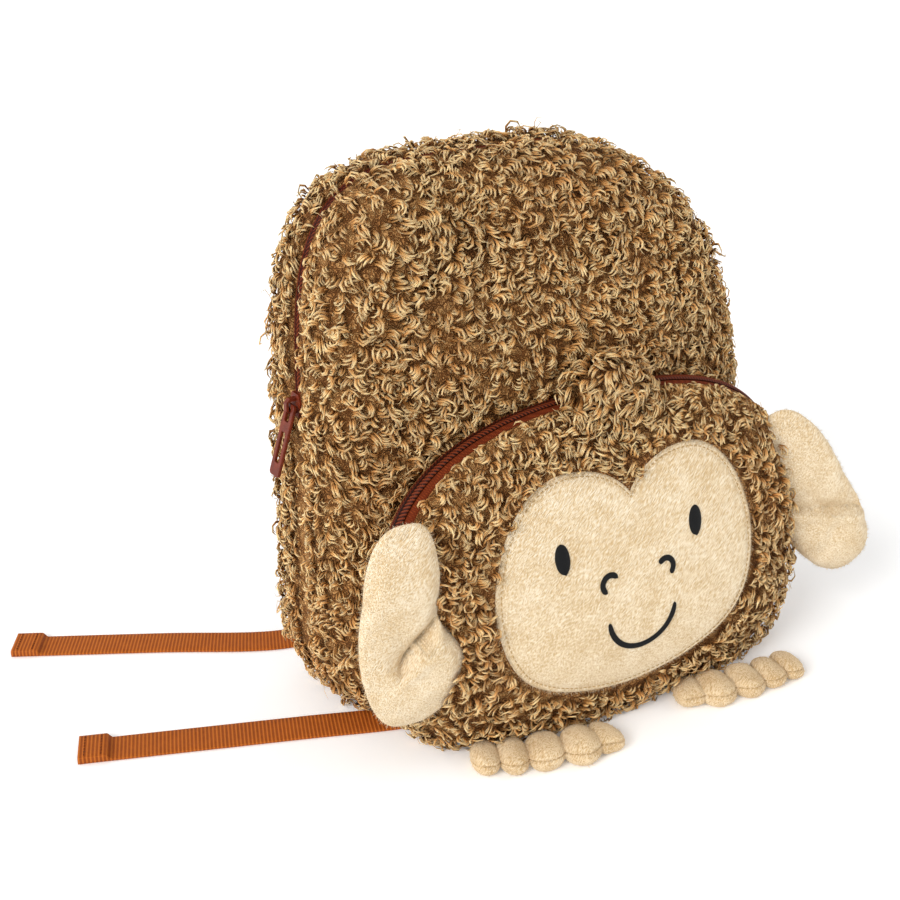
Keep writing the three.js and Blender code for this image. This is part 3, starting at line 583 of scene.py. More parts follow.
def enlist(piece: bpy.types.Object, finish: Finish, *nodes: str, body: str = "bag") -> bpy.types.Object:
    """Gives a piece its finish and its body, hides the nodes that it stands for, and reports it."""
    piece.data.materials.clear()
    piece.data.materials.append(finish.material)
    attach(piece, body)
    if nodes:
        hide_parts(*nodes)
    LOG.info("%s: %d triangles", piece.name, len(piece.data.loops) - 2 * len(piece.data.polygons))
    return piece


# Forms of the bag and of its pocket


@dataclass(frozen=True)
class Form:
    """An outline of superellipse quarters, carried through its depth on a rounded edge.

    heights are the levels at which tables such as fronts give the form's depths.
    """

    half_width: float
    left_width: float
    middle: float
    above: float
    below: float
    right_power: float
    left_power: float
    base_power: float
    front_power: float
    back_power: float
    heights: tuple
    fronts: tuple

    def section(self, values: tuple, z: Array) -> Array:
        """A column of the form's table at a height."""
        return column(np.array(self.heights, float), np.array(values, float), z)

    def narrowing(self, z: Array) -> Array | float:
        """How wide the form is at a height, as a share of its outline."""
        return 1.0

    def depth(self, x: Array, z: Array, side: Array, inset: float = 0.0) -> Array:
        """Depth of the skin at a place in the front view: side is 1 at the front and -1 at the back."""
        raise NotImplementedError

    def edge(self, over: Array) -> tuple[Array, Array]:
        """How far out and how far to the front a place round the edge lies, from its angle in degrees."""
        angle = np.radians(over)
        radius = super_radius(angle, 1.0, 1.0, np.where(over > 0, self.front_power, self.back_power))
        return radius * np.cos(angle), radius * np.sin(angle)

    def outline(self, angle: Array, inset: float = 0.0) -> Array:
        """Radius of the outline along an angle in radians."""
        up, right = np.sin(angle) >= 0, np.cos(angle) > 0
        high = np.where(up, self.above, self.below) - inset
        wide = np.where(right, self.half_width, self.left_width) - inset
        arch = np.where(right, self.right_power, self.left_power)
        return super_radius(angle, wide, high, np.where(up, arch, self.base_power))

    def skin(self, around: Array, over: Array, inset: float = 0.0) -> Array:
        """Points of the skin from the angles round the outline and round the edge, in degrees."""
        angle = np.radians(around)
        reach, side = self.edge(over)
        radius = reach * self.outline(angle, inset)
        z = np.maximum(self.middle + radius * np.sin(angle), np.maximum(inset, 0.0))
        x = radius * np.cos(angle) * self.narrowing(z)
        return np.stack([x, self.depth(x, z, side, inset), z], -1)

    def polar(self, x: Array, z: Array) -> tuple[Array, Array]:
        """A place in the front view as an angle in radians and its share of the way out to the outline."""
        flat = x / self.narrowing(z)
        angle = np.arctan2(z - self.middle, flat)
        return angle, np.hypot(flat, z - self.middle) / self.outline(angle)

    def face(self, x: Array, z: Array, facing: int = 1) -> Array:
        """Depth of the front face, or with facing -1 of the back, at a place in the front view."""
        power = self.front_power if facing > 0 else self.back_power
        reach = np.minimum(self.polar(x, z)[1], 1)
        return self.depth(x, z, facing * (1 - reach**power) ** (1 / power))


@dataclass(frozen=True)
class BagForm(Form):
    """The main bag's skin: the outline narrows a little to its ends, and dents push its front back."""

    half_width: float = 132
    left_width: float = 132
    middle: float = 128
    above: float = 160
    below: float = 140
    right_power: float = 2.0
    left_power: float = 4.4
    base_power: float = 4.8
    front_power: float = 2.7
    back_power: float = 4.4
    heights: tuple = (0, 45, 150, 225, 300)
    fronts: tuple = (-47, -56, -57, -50, -39)
    backs: tuple = (39, 45, 47, 43, 35)
    shares: tuple = (0.94, 1.0, 1.0, 0.99, 0.96)
    dents: tuple = ((-54, 262, 26, 26, 12), (-14, 236, 40, 22, 7))

    def narrowing(self, z: Array) -> Array:
        """How wide the bag is at a height, as a share of its outline."""
        return self.section(self.shares, z)

    def depth(self, x: Array, z: Array, side: Array, inset: float = 0.0) -> Array:
        """Depth of the skin, between its back and its front, with round dents in its front."""
        front = self.section(self.fronts, z) + inset
        back = self.section(self.backs, z) - inset
        hollow = sum(deep * np.exp(-(((x - at) / wide) ** 2) - ((z - up) / tall) ** 2)
                     for at, up, wide, tall, deep in self.dents)
        return (front + back) / 2 - side * (back - front) / 2 + hollow * np.maximum(side, 0) ** 2

    def angles(self, points: Array) -> tuple[Array, Array]:
        """Angles round the outline and round the edge of places near the skin, in degrees."""
        x, y, z = np.moveaxis(points, -1, 0)
        turn, reach = self.polar(x, z)
        front, back = self.section(self.fronts, z), self.section(self.backs, z)
        side = (front + back - 2 * y) / (back - front)
        return np.degrees(turn) % 360, np.degrees(np.arctan2(side, reach))


BAG = BagForm()


@dataclass(frozen=True)
class PocketForm(Form):
    """The front pocket's skin, from its foot on the bag's front out to its swollen face."""

    half_width: float = 135
    left_width: float = 120
    middle: float = 80
    above: float = 96
    below: float = 100
    right_power: float = 2.35
    left_power: float = 2.8
    base_power: float = 2.8
    front_power: float = 2.5
    back_power: float = 2.5
    heights: tuple = (0, 25, 60, 95, 130, 180)
    fronts: tuple = (-103, -108, -109, -104, -98, -91)
    foot: float = -32
    skew: float = 0.04
    gap: float = 0.35

    def span(self, x: Array, z: Array, inset: float = 0.0) -> tuple[Array, Array]:
        """Depths of the foot on the bag and of the front, along the line out through a place."""
        angle = np.arctan2(z - self.middle, x)
        radius = self.edge(np.array(self.foot))[0] * self.outline(angle, inset)
        low = np.maximum(self.middle + radius * np.sin(angle), 0)
        foot = BAG.face(radius * np.cos(angle), low) - self.gap
        return foot, self.section(self.fronts, z) - self.skew * x + inset

    def depth(self, x: Array, z: Array, side: Array, inset: float = 0.0) -> Array:
        """Depth of the skin, in proportion between its foot and its front."""
        foot, front = self.span(x, z, inset)
        low = self.edge(np.array(self.foot))[1]
        return foot + (front - foot) * (side - low) / (1 - low)

    def on_face(self, x: Array, z: Array, lift: Array) -> Array:
        """Points lifted off the front at places in the front view."""
        return np.stack([x, self.face(x, z) - lift, z], -1)

    def angles(self, points: Array) -> tuple[Array, Array, Array]:
        """Angles round the outline and round the edge of places near the skin, and how far out they are."""
        x, y, z = np.moveaxis(points, -1, 0)
        foot, front = self.span(x, np.maximum(z, 0))
        low = self.edge(np.array(self.foot))[1]
        side = low + (1 - low) * (y - foot) / np.minimum(front - foot, -1.0)
        turn, reach = self.polar(x, z)
        over = np.arctan2(side, reach)
        skin = super_radius(over, 1.0, 1.0, self.front_power)
        return np.degrees(turn) % 360, np.degrees(over), np.hypot(reach, side) / skin


POCKET = PocketForm()


@dataclass(frozen=True)
class FullSkin:
    """A form's skin with its pile fuller in places: each swell is an angle, its spread and its height.

    A swell lifts the skin by height exp(-((around - angle)/spread)^2), and fades out towards the panels'
    middles.
    """

    form: Form
    swells: tuple
    fade: tuple = (28, 62)

    def __call__(self, around: Array, over: Array, inset: float = 0.0) -> Array:
        """Points of the fuller skin from the angles round the outline and round the edge, in degrees."""
        near = 1 - smoothstep(np.abs(over), *self.fade)
        lift = 0.0
        for at, wide, high in self.swells:
            off = (around - at + 180) % 360 - 180
            lift = lift + high * np.exp(-((off / wide) ** 2))
        return self.form.skin(around, over, inset - near * lift)


BAG_SKIN = FullSkin(BAG, ((128, 16, 5.0), (50, 17, 5.0), (222, 14, 5.0)))
POCKET_SKIN = FullSkin(POCKET, ((325, 18, 6.0), (275, 26, 4.0)))


def rim_quads(ids: Array, count: int) -> Array:
    """Quads from a line of vertices to the line whose numbers are higher by count."""
    return np.stack([ids[:-1], ids[1:], ids[1:] + count, ids[:-1] + count], -1)


def shell(skin: Skin, around: tuple[float, float], over: tuple[float, float], cells: tuple[int, int],
          outer: float, inner: float, panel: bool = False) -> Shape:
    """A closed wall between two skins, over ranges of their two angles.

    Args:
        skin: gives points from the two angles and an inset.
        around: the angles round the outline where it starts and ends.
        over: the angles round the edge where it starts and ends.
        cells: how many cells it has each way.
        outer: inset of its outer face.
        inner: inset of its inner face.
        panel: whether it runs all the way round and closes on its middle.

    Returns:
        The wall: skin(a, o, outer) and skin(a, o, inner) on a grid, joined at their rims.
    """
    turns = np.linspace(*around, cells[0] + 1)[: cells[0] if panel else None]
    tilts = np.linspace(*over, cells[1] + 1)[: cells[1] if panel else None]
    grid = np.meshgrid(turns, tilts)
    rows, cols = grid[0].shape
    count = rows * cols
    points = np.concatenate([skin(*grid, inset).reshape(-1, 3) for inset in (outer, inner)])
    out = grid_quads(rows, cols, panel)
    first = np.arange(cols + 1) % cols if panel else np.arange(cols)
    faces = [out, out[:, ::-1] + count, rim_quads(first, count)[:, ::-1]]
    ring = first + (rows - 1) * cols
    if not panel:
        side = np.arange(rows) * cols
        faces += [rim_quads(ring, count), rim_quads(side, count), rim_quads(side + cols - 1, count)[:, ::-1]]
        return Shape(points, [np.concatenate(faces)]).outward()
    tips = [skin(np.zeros(1), np.full(1, over[1]), inset) for inset in (outer, inner)]
    caps = [np.stack([ring[:-1], ring[1:], np.full(cols, 2 * count)], -1),
            np.stack([ring[1:] + count, ring[:-1] + count, np.full(cols, 2 * count + 1)], -1)]
    return Shape(np.concatenate([points, *tips]), [np.concatenate(faces), np.concatenate(caps)]).outward()


# Pile

BRUSHED = np.array([0.2, 0.1, -1.0])  # which way the short nap was brushed
HANGING = np.array([0.0, -0.3, -1.0])  # which way the long pile hangs


@dataclass(frozen=True)
class PileStyle:
    """How the pile's locks grow, in millimetres and degrees.

    A lock is a few flat ribbons of fibres side by side, lane half widths apart, bowed down by camber at its
    sides. width and thick are half a ribbon's section, lift and dip its slopes at the root and at the tip,
    and it starts foot to foot + layers above the skin. bend, trim and sizes are the shares of its lock's
    turn, length and section that a ribbon has. veer, in radians, and pitch are how far it strays from its
    lock's heading and slope. tones are a ribbon's tone at the lowest root, what height adds to it, which
    leaves the lower ribbons darker as painted shade, and the chance in a lock and in a ribbon. flat is the
    share of length and of lift left where it is sewn flat.
    """

    spacing: float = 4.7
    ribbons: int = 4
    length: tuple = (6.2, 10.0)
    turn: tuple = (55, 205)
    lift: tuple = (25, 65)
    dip: tuple = (10, 65)
    layers: float = 3.4
    width: float = 0.74
    thick: float = 0.58
    spread: float = 0.4
    swirl: float = 75
    stray: float = 45
    roll: float = 14
    rings: int = 5
    sides: int = 3
    tries: int = 3
    foot: float = 2.0
    lane: float = 1.2
    camber: float = 0.2
    bend: tuple = (0.8, 1.2)
    trim: tuple = (0.85, 1.1)
    sizes: tuple = (0.8, 1.15)
    veer: float = 0.14
    pitch: float = 8.0
    tones: tuple = (0.2, 0.5, 0.14, 0.12)
    flat: tuple = (0.6, 0.2)


WALL_STYLE = PileStyle()
WISP_STYLE = PileStyle(ribbons=1, length=(5, 9), dip=(-15, 40), width=0.26, thick=0.24, spread=1.6)
TUFT_STYLE = PileStyle(length=(8, 13), turn=(40, 170), lift=(15, 50), layers=3.0, swirl=40, stray=30)
NAP_STYLE = PileStyle(ribbons=1, length=(1.8, 3.0), turn=(0, 20), lift=(35, 75), dip=(-60, -30), layers=0.4,
                      width=0.24, thick=0.2, spread=0.0, rings=2, foot=-0.8)


@dataclass
class Pile:
    """Curly pile: locks of a few ribbons of fibres, each a flat tapered tube that curls over the skin.

    A ribbon's path is a sum of equal steps. At a share s along it, its heading over the skin has turned by
    turn (0.7 s + 0.3 s^2), so that it curls tighter to its tip, and its slope goes from lift to -dip.
    blocks are tests for paths that run into something.
    """

    style: PileStyle
    rng: np.random.Generator
    blocks: list[Test] = field(default_factory=list)

    def scatter(self, skin: Skin, around: tuple[float, float],
                over: tuple[float, float]) -> tuple[Array, Array]:
        """Roots of locks over ranges of a skin's angles, in jittered rows.

        Args:
            skin: gives points from two angles and an inset.
            around: the range of angles round the outline.
            over: the range of angles round the edge.

        Returns:
            The angles of each root.
        """
        spacing, loose = self.style.spacing, 0.42
        fine_over = np.linspace(*over, 120)
        fine_around = np.linspace(*around, 240)
        grid = skin(*np.meshgrid(fine_around, fine_over), 0.0)
        climb = np.r_[0, np.cumsum(np.linalg.norm(np.diff(grid, axis=0), axis=2).mean(axis=1))]
        rows = max(int(round(climb[-1] / spacing)), 1)
        turns, tilts = [], []
        for row in (np.arange(rows) + 0.5) / rows * climb[-1]:
            tilt = np.interp(row, climb, fine_over)
            run = run_along(skin(fine_around, np.full_like(fine_around, tilt), 0.0))
            count = max(int(round(run[-1] / spacing)), 1)
            jitter = self.rng.uniform(-loose, loose, count)
            places = (np.arange(count) + 0.5 + jitter) / count * run[-1]
            turns.append(np.interp(places, run, fine_around))
            heights = row + spacing * self.rng.uniform(-loose, loose, count)
            tilts.append(np.interp(np.clip(heights, 0, climb[-1]), climb, fine_over))
        return np.concatenate(turns), np.concatenate(tilts)

    def cover(self, shape: Shape, count: int, weight: Array | float = 1.0) -> Shape:
        """Short nap at random places on a shape's quads, by their area times a weight.

        Args:
            shape: what it grows on.
            count: how many hairs there are.
            weight: how thick they stand on each quad.

        Returns:
            The hairs in one shape.
        """
        corners = shape.points[shape.faces[0]]
        crossed = np.cross(corners[:, 2] - corners[:, 0], corners[:, 3] - corners[:, 1])
        share = np.linalg.norm(crossed, axis=1) * weight
        picked = self.rng.choice(len(share), count, p=share / share.sum())
        u, v = self.rng.uniform(0, 1, (2, count, 1))
        a, b, c, d = (corners[picked, k] for k in range(4))
        roots = (1 - v) * ((1 - u) * a + u * b) + v * ((1 - u) * d + u * c)
        return self.grow(roots, unit(crossed[picked]), BRUSHED)

    def on_skin(self, skin: Skin, turns: Array, tilts: Array) -> tuple[Array, Array]:
        """Points of a skin and its outward normals there, by differences of its two angles."""
        step = 0.4
        side = skin(turns + step, tilts, 0.0) - skin(turns - step, tilts, 0.0)
        up = skin(turns, tilts + step, 0.0) - skin(turns, tilts - step, 0.0)
        return skin(turns, tilts, 0.0), unit(np.cross(side, up))

    def combed(self, roots: Array, normals: Array, down: Array) -> Array:
        """Directions the locks lie in: down the skin, turned by a smooth swirl and by chance.

        The swirl is a sum of sines of the places along random directions, each with its own reach.
        """
        reaches = np.array([13, 16, 20, 24, 30, 38, 48])
        waves = self.rng.normal(size=(len(reaches), 3)) / reaches[:, None]
        phases = self.rng.uniform(0, 2 * np.pi, len(reaches))
        swirl = np.sin(roots @ waves.T + phases).sum(axis=1) / 2.6
        stray = self.rng.normal(0, self.style.stray, len(roots))
        angle = np.radians(self.style.swirl * swirl + stray)[:, None]
        flat = unit(down - np.sum(down * normals, axis=1, keepdims=True) * normals)
        return flat * np.cos(angle) + np.cross(normals, flat) * np.sin(angle)

    def grow(self, roots: Array, normals: Array, down: Array, stature: Array | float = 1.0) -> Shape:
        """Locks at roots, without the ribbons that would run into something.

        Args:
            roots: a point for each lock.
            normals: the skin's normals there.
            down: which way the pile hangs, one direction or one for each root.
            stature: how tall the pile is there, from 0 where it is sewn flat to 1.

        Returns:
            All ribbons in one shape, with how far along its ribbon and of what tone each point is.
        """
        style, rng, count = self.style, self.rng, len(roots)
        comb = self.combed(roots, normals, np.broadcast_to(down, roots.shape))
        across = np.cross(normals, comb)
        turn = np.radians(rng.uniform(*style.turn, count)) * rng.choice([-1, 1], count)
        length, lift, dip = (rng.uniform(*ends, count) for ends in (style.length, style.lift, style.dip))
        stature = np.broadcast_to(stature, count)
        length, lift = (values * (least + (1 - least) * stature)
                        for values, least in zip((length, lift), style.flat))
        start = rng.uniform(0, 1, count)

        each = np.repeat(np.arange(count), style.ribbons)
        total = len(each)
        lane = np.tile(np.arange(style.ribbons), count) - (style.ribbons - 1) / 2
        aside = lane * style.lane * style.width + rng.normal(0, style.spread, total)
        back = rng.normal(0, style.spread, total)
        turn = turn[each] * rng.uniform(*style.bend, total)
        length = np.maximum(length[each] * rng.uniform(*style.trim, total) - aside * turn, 0.6 * length[each])
        heading = rng.normal(-0.35, 0.2, count)[each] * turn - 0.5 * aside / length
        heading = heading + rng.normal(0, style.veer, total)
        start = np.clip(start[each] + rng.normal(0, 0.04, total), 0, 1)
        lift, dip = (np.radians(slope[each] + rng.normal(0, style.pitch, total)) for slope in (lift, dip))
        # Lower ribbons get a darker tone, as painted shade, on top of the chance by lock and by ribbon.
        low, higher, by_lock, by_ribbon = style.tones
        tone = low + higher * start + rng.normal(0, by_lock, count)[each] + rng.normal(0, by_ribbon, total)
        tone = np.clip(tone, 0, 1)
        size = rng.uniform(*style.sizes, total)
        roll = (rng.normal(0, np.radians(style.roll), count)[each] + 0.3 * lane)[:, None, None]

        comb, across, up = comb[each], across[each], normals[each]
        height = style.layers * start * stature[each] + style.foot - style.camber * lane**2
        base = roots[each] + height[:, None] * up + aside[:, None] * across + back[:, None] * comb
        # A ribbon that runs into something is turned away and shortened, and left out if it still does.
        for _ in range(style.tries):
            path = self.route(base, (comb, across, up), heading, turn, length, lift, dip)
            hit = np.any([np.full(total, False), *(block(path) for block in self.blocks)], axis=0)
            heading = np.where(hit, heading + 2.1, heading)
            length = np.where(hit, 0.85 * length, length)
        keep = ~hit
        path, up, size, tone, roll = path[keep], up[keep, None], size[keep], tone[keep], roll[keep]
        ahead = unit(np.gradient(path, axis=1))
        side = unit(np.cross(up, ahead))
        rise = np.cross(ahead, side)
        wide = side * np.cos(roll) + rise * np.sin(roll)
        thick = rise * np.cos(roll) - side * np.sin(roll)
        return self.tubes(path, wide, thick, size, tone)

    def route(self, base: Array, axes: tuple, heading: Array, turn: Array, length: Array, lift: Array,
              dip: Array) -> Array:
        """Paths of ribbons, as the class describes them.

        Args:
            base: where each starts.
            axes: the comb's direction, the way across it and the normal at each.
            heading: the angle from the comb's direction at its root, in radians.
            turn: how far it turns in all.
            length: its length.
            lift: its slope at the root.
            dip: its slope down at the tip.

        Returns:
            Points of each path, one row each.
        """
        count = self.style.rings
        s = (np.arange(count - 1) + 0.5) / (count - 1)
        angle = heading[:, None] + turn[:, None] * (0.7 * s + 0.3 * s**2)
        slope = lift[:, None] - (lift + dip)[:, None] * smoothstep(s, 0.0, 1.0)
        shares = np.cos(slope) * np.cos(angle), np.cos(slope) * np.sin(angle), np.sin(slope)
        steps = sum(share[..., None] * axis[:, None] for share, axis in zip(shares, axes))
        steps = steps * (length / (count - 1))[:, None, None]
        return np.concatenate([base[:, None], base[:, None] + np.cumsum(steps, axis=1)], axis=1)

    def tubes(self, path: Array, side: Array, rise: Array, size: Array, tone: Array) -> Shape:
        """Closed low-domed tubes along paths, slim at the root, full past it and drawn to a soft tip.

        Args:
            path: points of each ribbon, one row each.
            side: which way its width points there.
            rise: which way its thickness points there.
            size: scale of each ribbon's section.
            tone: each ribbon's tone.

        Returns:
            One shape. lane runs from -1 to 1 across a ribbon and along from 0 to 1 down it.
        """
        style, (total, rings, _) = self.style, path.shape
        s = np.linspace(0, 1, rings)[None, :, None]
        full = size[:, None, None] * ((0.45 + 0.55 * smoothstep(s, 0.0, 0.4)) * (1 - s**3) ** 0.6 + 0.08)
        turns = np.linspace(0, np.pi, style.sides)[:, None]
        ring = style.width * np.cos(turns) * side[:, :, None] + style.thick * np.sin(turns) * rise[:, :, None]
        points = path[:, :, None] + full[:, :, None] * ring
        points[..., 2] = np.maximum(points[..., 2], FLOOR_CLEARANCE)
        first = np.arange(total)[:, None, None] * rings * style.sides
        quads = (first + grid_quads(rings, style.sides, True)[None]).reshape(-1, 4)
        cap = np.arange(style.sides)
        caps = (first + np.stack([cap[::-1], cap + (rings - 1) * style.sides])[None]).reshape(-1, style.sides)
        share = np.broadcast_to(s[..., None], (total, rings, style.sides, 1))
        cells = int(np.ceil(np.sqrt(max(total, 1))))
        corner = np.stack([np.arange(total) % cells, np.arange(total) // cells], -1)[:, None, None]
        across = np.linspace(0.1, 0.9, style.sides)[:, None]
        inside = np.concatenate([np.broadcast_to(across, share.shape), 0.1 + 0.8 * share], -1)
        shape = Shape(points.reshape(-1, 3), [quads, caps])
        # along carries the painted shade at the root and the painted highlight on the crest, and tone the
        # painted shade of low ribbons.
        shape.layers = {"along": share.ravel(), "tone": np.repeat(tone, rings * style.sides),
                        "lane": np.tile(np.cos(turns).ravel(), total * rings)}
        shape.bake = ((corner + inside) / cells).reshape(-1, 2)
        return shape.outward()


# Sub-assemblies


@dataclass
class FacePatch:
    """The velvet face: two brow lobes over round cheeks, with its stitched features."""

    middle: float = 86
    foot: float = 0.6
    thick: float = 2.2
    seam: float = 3.6
    eye: tuple = (41.5, 109.5, 4.2, 7.8)
    eye_shift: float = -2.6
    nostril: tuple = (17.5, 90, 4.8, 35, 235)
    mouth: tuple = (1.5, 71.5, 21, 186, 354)
    satin_width: float = 3.0
    thread: float = 0.45
    stitch_length: float = 3.0
    right_half: tuple = (
        ((0, 134), (8, 146), (26, 152), (42, 150)),
        ((42, 150), (62, 147), (76, 128), (81, 100)),
        ((81, 100), (84, 78), (78, 52), (58, 40)),
        ((58, 40), (42, 30), (20, 25), (0, 24)),
    )

    def rim(self, angle: Array) -> Array:
        """Radius of the outline about its middle along an angle, from cubic curves and their mirror."""
        t = np.linspace(0, 1, 40)[:, None]
        weights = np.concatenate([(1 - t) ** 3, 3 * t * (1 - t) ** 2, 3 * t**2 * (1 - t), t**3], 1)
        half = np.concatenate([weights @ np.array(curve, float) for curve in self.right_half])
        half = half - (0, self.middle)
        turns = np.degrees(np.arctan2(half[:, 1], half[:, 0]))
        radii = np.hypot(half[:, 0], half[:, 1])
        folded = np.degrees(np.arcsin(np.clip(np.sin(angle), -1, 1)))
        order = np.argsort(turns)
        return np.interp(folded, turns[order], radii[order])

    def covers(self, x: Array, z: Array, margin: float) -> Array:
        """Whether places in the front view lie inside the outline by more than a margin."""
        angle = np.arctan2(z - self.middle, x)
        return np.hypot(x, z - self.middle) < self.rim(angle) - margin

    def top(self, angle: Array, reach: Array) -> Array:
        """Points of the velvet's face: level, rounded off at its rim and drawn in along its seam."""
        radius = self.rim(angle)
        inside = radius * (1 - reach)
        lift = self.foot + self.thick * (0.35 + 0.65 * smoothstep(inside, -0.5, 2.2))
        lift = lift - 0.75 * np.exp(-(((inside - self.seam) / 1.0) ** 2))
        x = radius * reach * np.cos(angle)
        z = self.middle + radius * reach * np.sin(angle)
        return POCKET.on_face(x, z, lift)

    def patch(self) -> Shape:
        """The velvet patch: its face on polar rings, closer near the rim, closed by a flat underside."""
        turns = np.linspace(0, 2 * np.pi, 168, endpoint=False)
        rings = 1 - np.linspace(0, 1, 30)[:-1] ** 1.9
        angle, reach = np.meshgrid(turns, rings)
        face = self.top(angle, reach)
        radius = self.rim(turns)
        under = POCKET.on_face(radius * np.cos(turns), self.middle + radius * np.sin(turns),
                               np.full(len(turns), self.foot))
        centre = self.top(np.zeros(1), np.zeros(1))
        floor = POCKET.on_face(np.zeros(1), np.full(1, float(self.middle)), np.full(1, self.foot))
        return capped(np.concatenate([under[None], face]), np.concatenate([floor, centre]))

    def ridge(self, line: Array, half: Array, height: float) -> Shape:
        """A satin-stitched line: a low dome carried along a line in the front view, ridged by its threads.

        Args:
            line: the line's points, as x and z.
            half: half its width at each point.
            height: how far it stands out of the velvet.

        Returns:
            A closed band whose lift is the dome sqrt(1 - w^2) with every second section a little lower.
        """
        ahead = unit(np.gradient(line, axis=0))
        side = np.stack([-ahead[:, 1], ahead[:, 0]], -1)
        w = np.cos(np.linspace(0, np.pi, 9))
        dome = np.sqrt(1 - w**2)
        places = line[:, None] + side[:, None] * (half[:, None] * w)[..., None]
        thread = 1 - 0.22 * (np.arange(len(line)) % 2)[:, None]
        base = self.foot + self.thick + 0.1
        top = POCKET.on_face(places[..., 0], places[..., 1], base + height * dome * thread)
        under = POCKET.on_face(places[..., 0], places[..., 1], np.full(places.shape[:2], base - 0.4))
        points = np.concatenate([top, under[:, ::-1]], axis=1)
        rows, cols = points.shape[:2]
        near = np.arange(cols // 2 - 1)
        ends = np.stack([near, near + 1, cols - 2 - near, cols - 1 - near], -1)
        faces = np.concatenate([grid_quads(rows, cols, True), ends, (ends + (rows - 1) * cols)[:, ::-1]])
        return Shape(points.reshape(-1, 3), [faces]).outward()

    def arc(self, x: float, z: float, radius: float, start: float, end: float) -> Shape:
        """A stitched arc in the front view, between two angles in degrees."""
        threads = int(abs(end - start) / 360 * 2 * np.pi * radius / self.thread)
        turns = np.radians(np.linspace(start, end, threads))
        line = np.stack([x + radius * np.cos(turns), z + radius * np.sin(turns)], -1)
        share = np.linspace(-1, 1, threads)
        half = self.satin_width / 2 * (1 - np.abs(share) ** 12) ** 0.5 + 0.05
        return self.ridge(line, half, 1.1)

    def build(self, pile: Pile) -> None:
        """Adds the velvet, its seam, its fuzzy edge and the stitched features.

        Args:
            pile: a pile whose style suits the fuzz of the cut edge.
        """
        add_piece("face_velvet", self.patch(), Finish.PLUSH, "face_patch")
        for side, name in ((-1, "left"), (1, "right")):
            x, z, wide, tall = self.eye
            up = np.linspace(-1, 1, int(2 * tall / self.thread))
            slant = 0.06 * side * tall * up
            line = np.stack([side * x + self.eye_shift + slant, z + tall * up], -1)
            add_piece(f"stitched_eye_{name}", self.ridge(line, wide * np.sqrt(1.001 - up**2), 1.3),
                      Finish.THREAD, f"eye_{name}")
            x, z, radius, start, end = self.nostril
            start, end = (start, end) if side < 0 else (180 - end, 180 - start)
            add_piece(f"stitched_nostril_{name}", self.arc(side * x, z, radius, start, end),
                      Finish.THREAD, f"nostril_{name}")
        add_piece("stitched_mouth", self.arc(*self.mouth), Finish.THREAD, "mouth")
        self.seam_stitches()
        self.fuzz(pile)

    def seam_stitches(self) -> None:
        """Adds the run of stitches inside the rim, each a short thread with sunk ends."""
        fine = np.linspace(0, 2 * np.pi, 2000)
        reach = 1 - self.seam / self.rim(fine)
        run = run_along(self.top(fine, reach))
        places, s = stitch_places(run[-1], int(run[-1] / self.stitch_length), 0.08, 6)
        turns = np.interp(places, run, fine)
        path = self.top(turns, 1 - self.seam / self.rim(turns))
        path[..., 1] -= 0.45 * np.sin(np.pi * s) - 0.15
        add_piece("face_seam_stitches", thread_run(path, 0.34), Finish.SEWING)

    def fuzz(self, pile: Pile) -> None:
        """Adds the short fibres that stand out of the cut edge."""
        turns = pile.rng.uniform(0, 2 * np.pi, 1800)
        inside = pile.rng.uniform(0.2, 2.6, len(turns))
        reach = 1 - inside / self.rim(turns)
        roots = self.top(turns, reach)
        outward = np.stack([np.cos(turns), np.full(len(turns), -0.9), np.sin(turns)], -1)
        add_piece("face_velvet_fuzz", pile.grow(roots, unit(outward), BRUSHED), Finish.PLUSH)


def stitch_places(length: float, count: int, gap: float, points: int) -> tuple[Array, Array]:
    """Places of stitches along a length, in equal steps with a gap at both ends of each.

    Args:
        length: the length that they take up.
        count: how many there are.
        gap: the gap's share of a step.
        points: how many points a stitch has.

    Returns:
        The places, one row for each stitch, and the share along a stitch of each column.
    """
    s = np.linspace(0, 1, points)
    return (np.arange(count)[:, None] + gap + (1 - 2 * gap) * s) / count * length, s


def thread_run(paths: Array, radius: float) -> Shape:
    """Stitches: closed four-sided threads along paths, thinner at their ends.

    Args:
        paths: points of each stitch, one row each.
        radius: the thread's radius.

    Returns:
        One shape with a tube r sqrt(1 - (2s-1)^4) for each stitch.
    """
    total, rings, _ = paths.shape
    ahead = unit(np.gradient(paths, axis=1))
    out = unit(np.cross(ahead, np.array([0.31, -0.9, 0.3])))
    wide = np.cross(ahead, out)
    s = np.linspace(-1, 1, rings)
    thick = radius * (np.sqrt(1 - 0.98 * s**4))[None, :, None, None]
    turns = np.radians([45, 135, 225, 315])[:, None]
    points = paths[:, :, None] + thick * (np.cos(turns) * out[:, :, None] + np.sin(turns) * wide[:, :, None])
    first = np.arange(total)[:, None, None] * rings * 4
    last = (rings - 1) * 4
    quads = np.concatenate([grid_quads(rings, 4, True), [[3, 2, 1, 0], [last, last + 1, last + 2, last + 3]]])
    return Shape(points.reshape(-1, 3), [(first + quads[None]).reshape(-1, 4)]).outward()


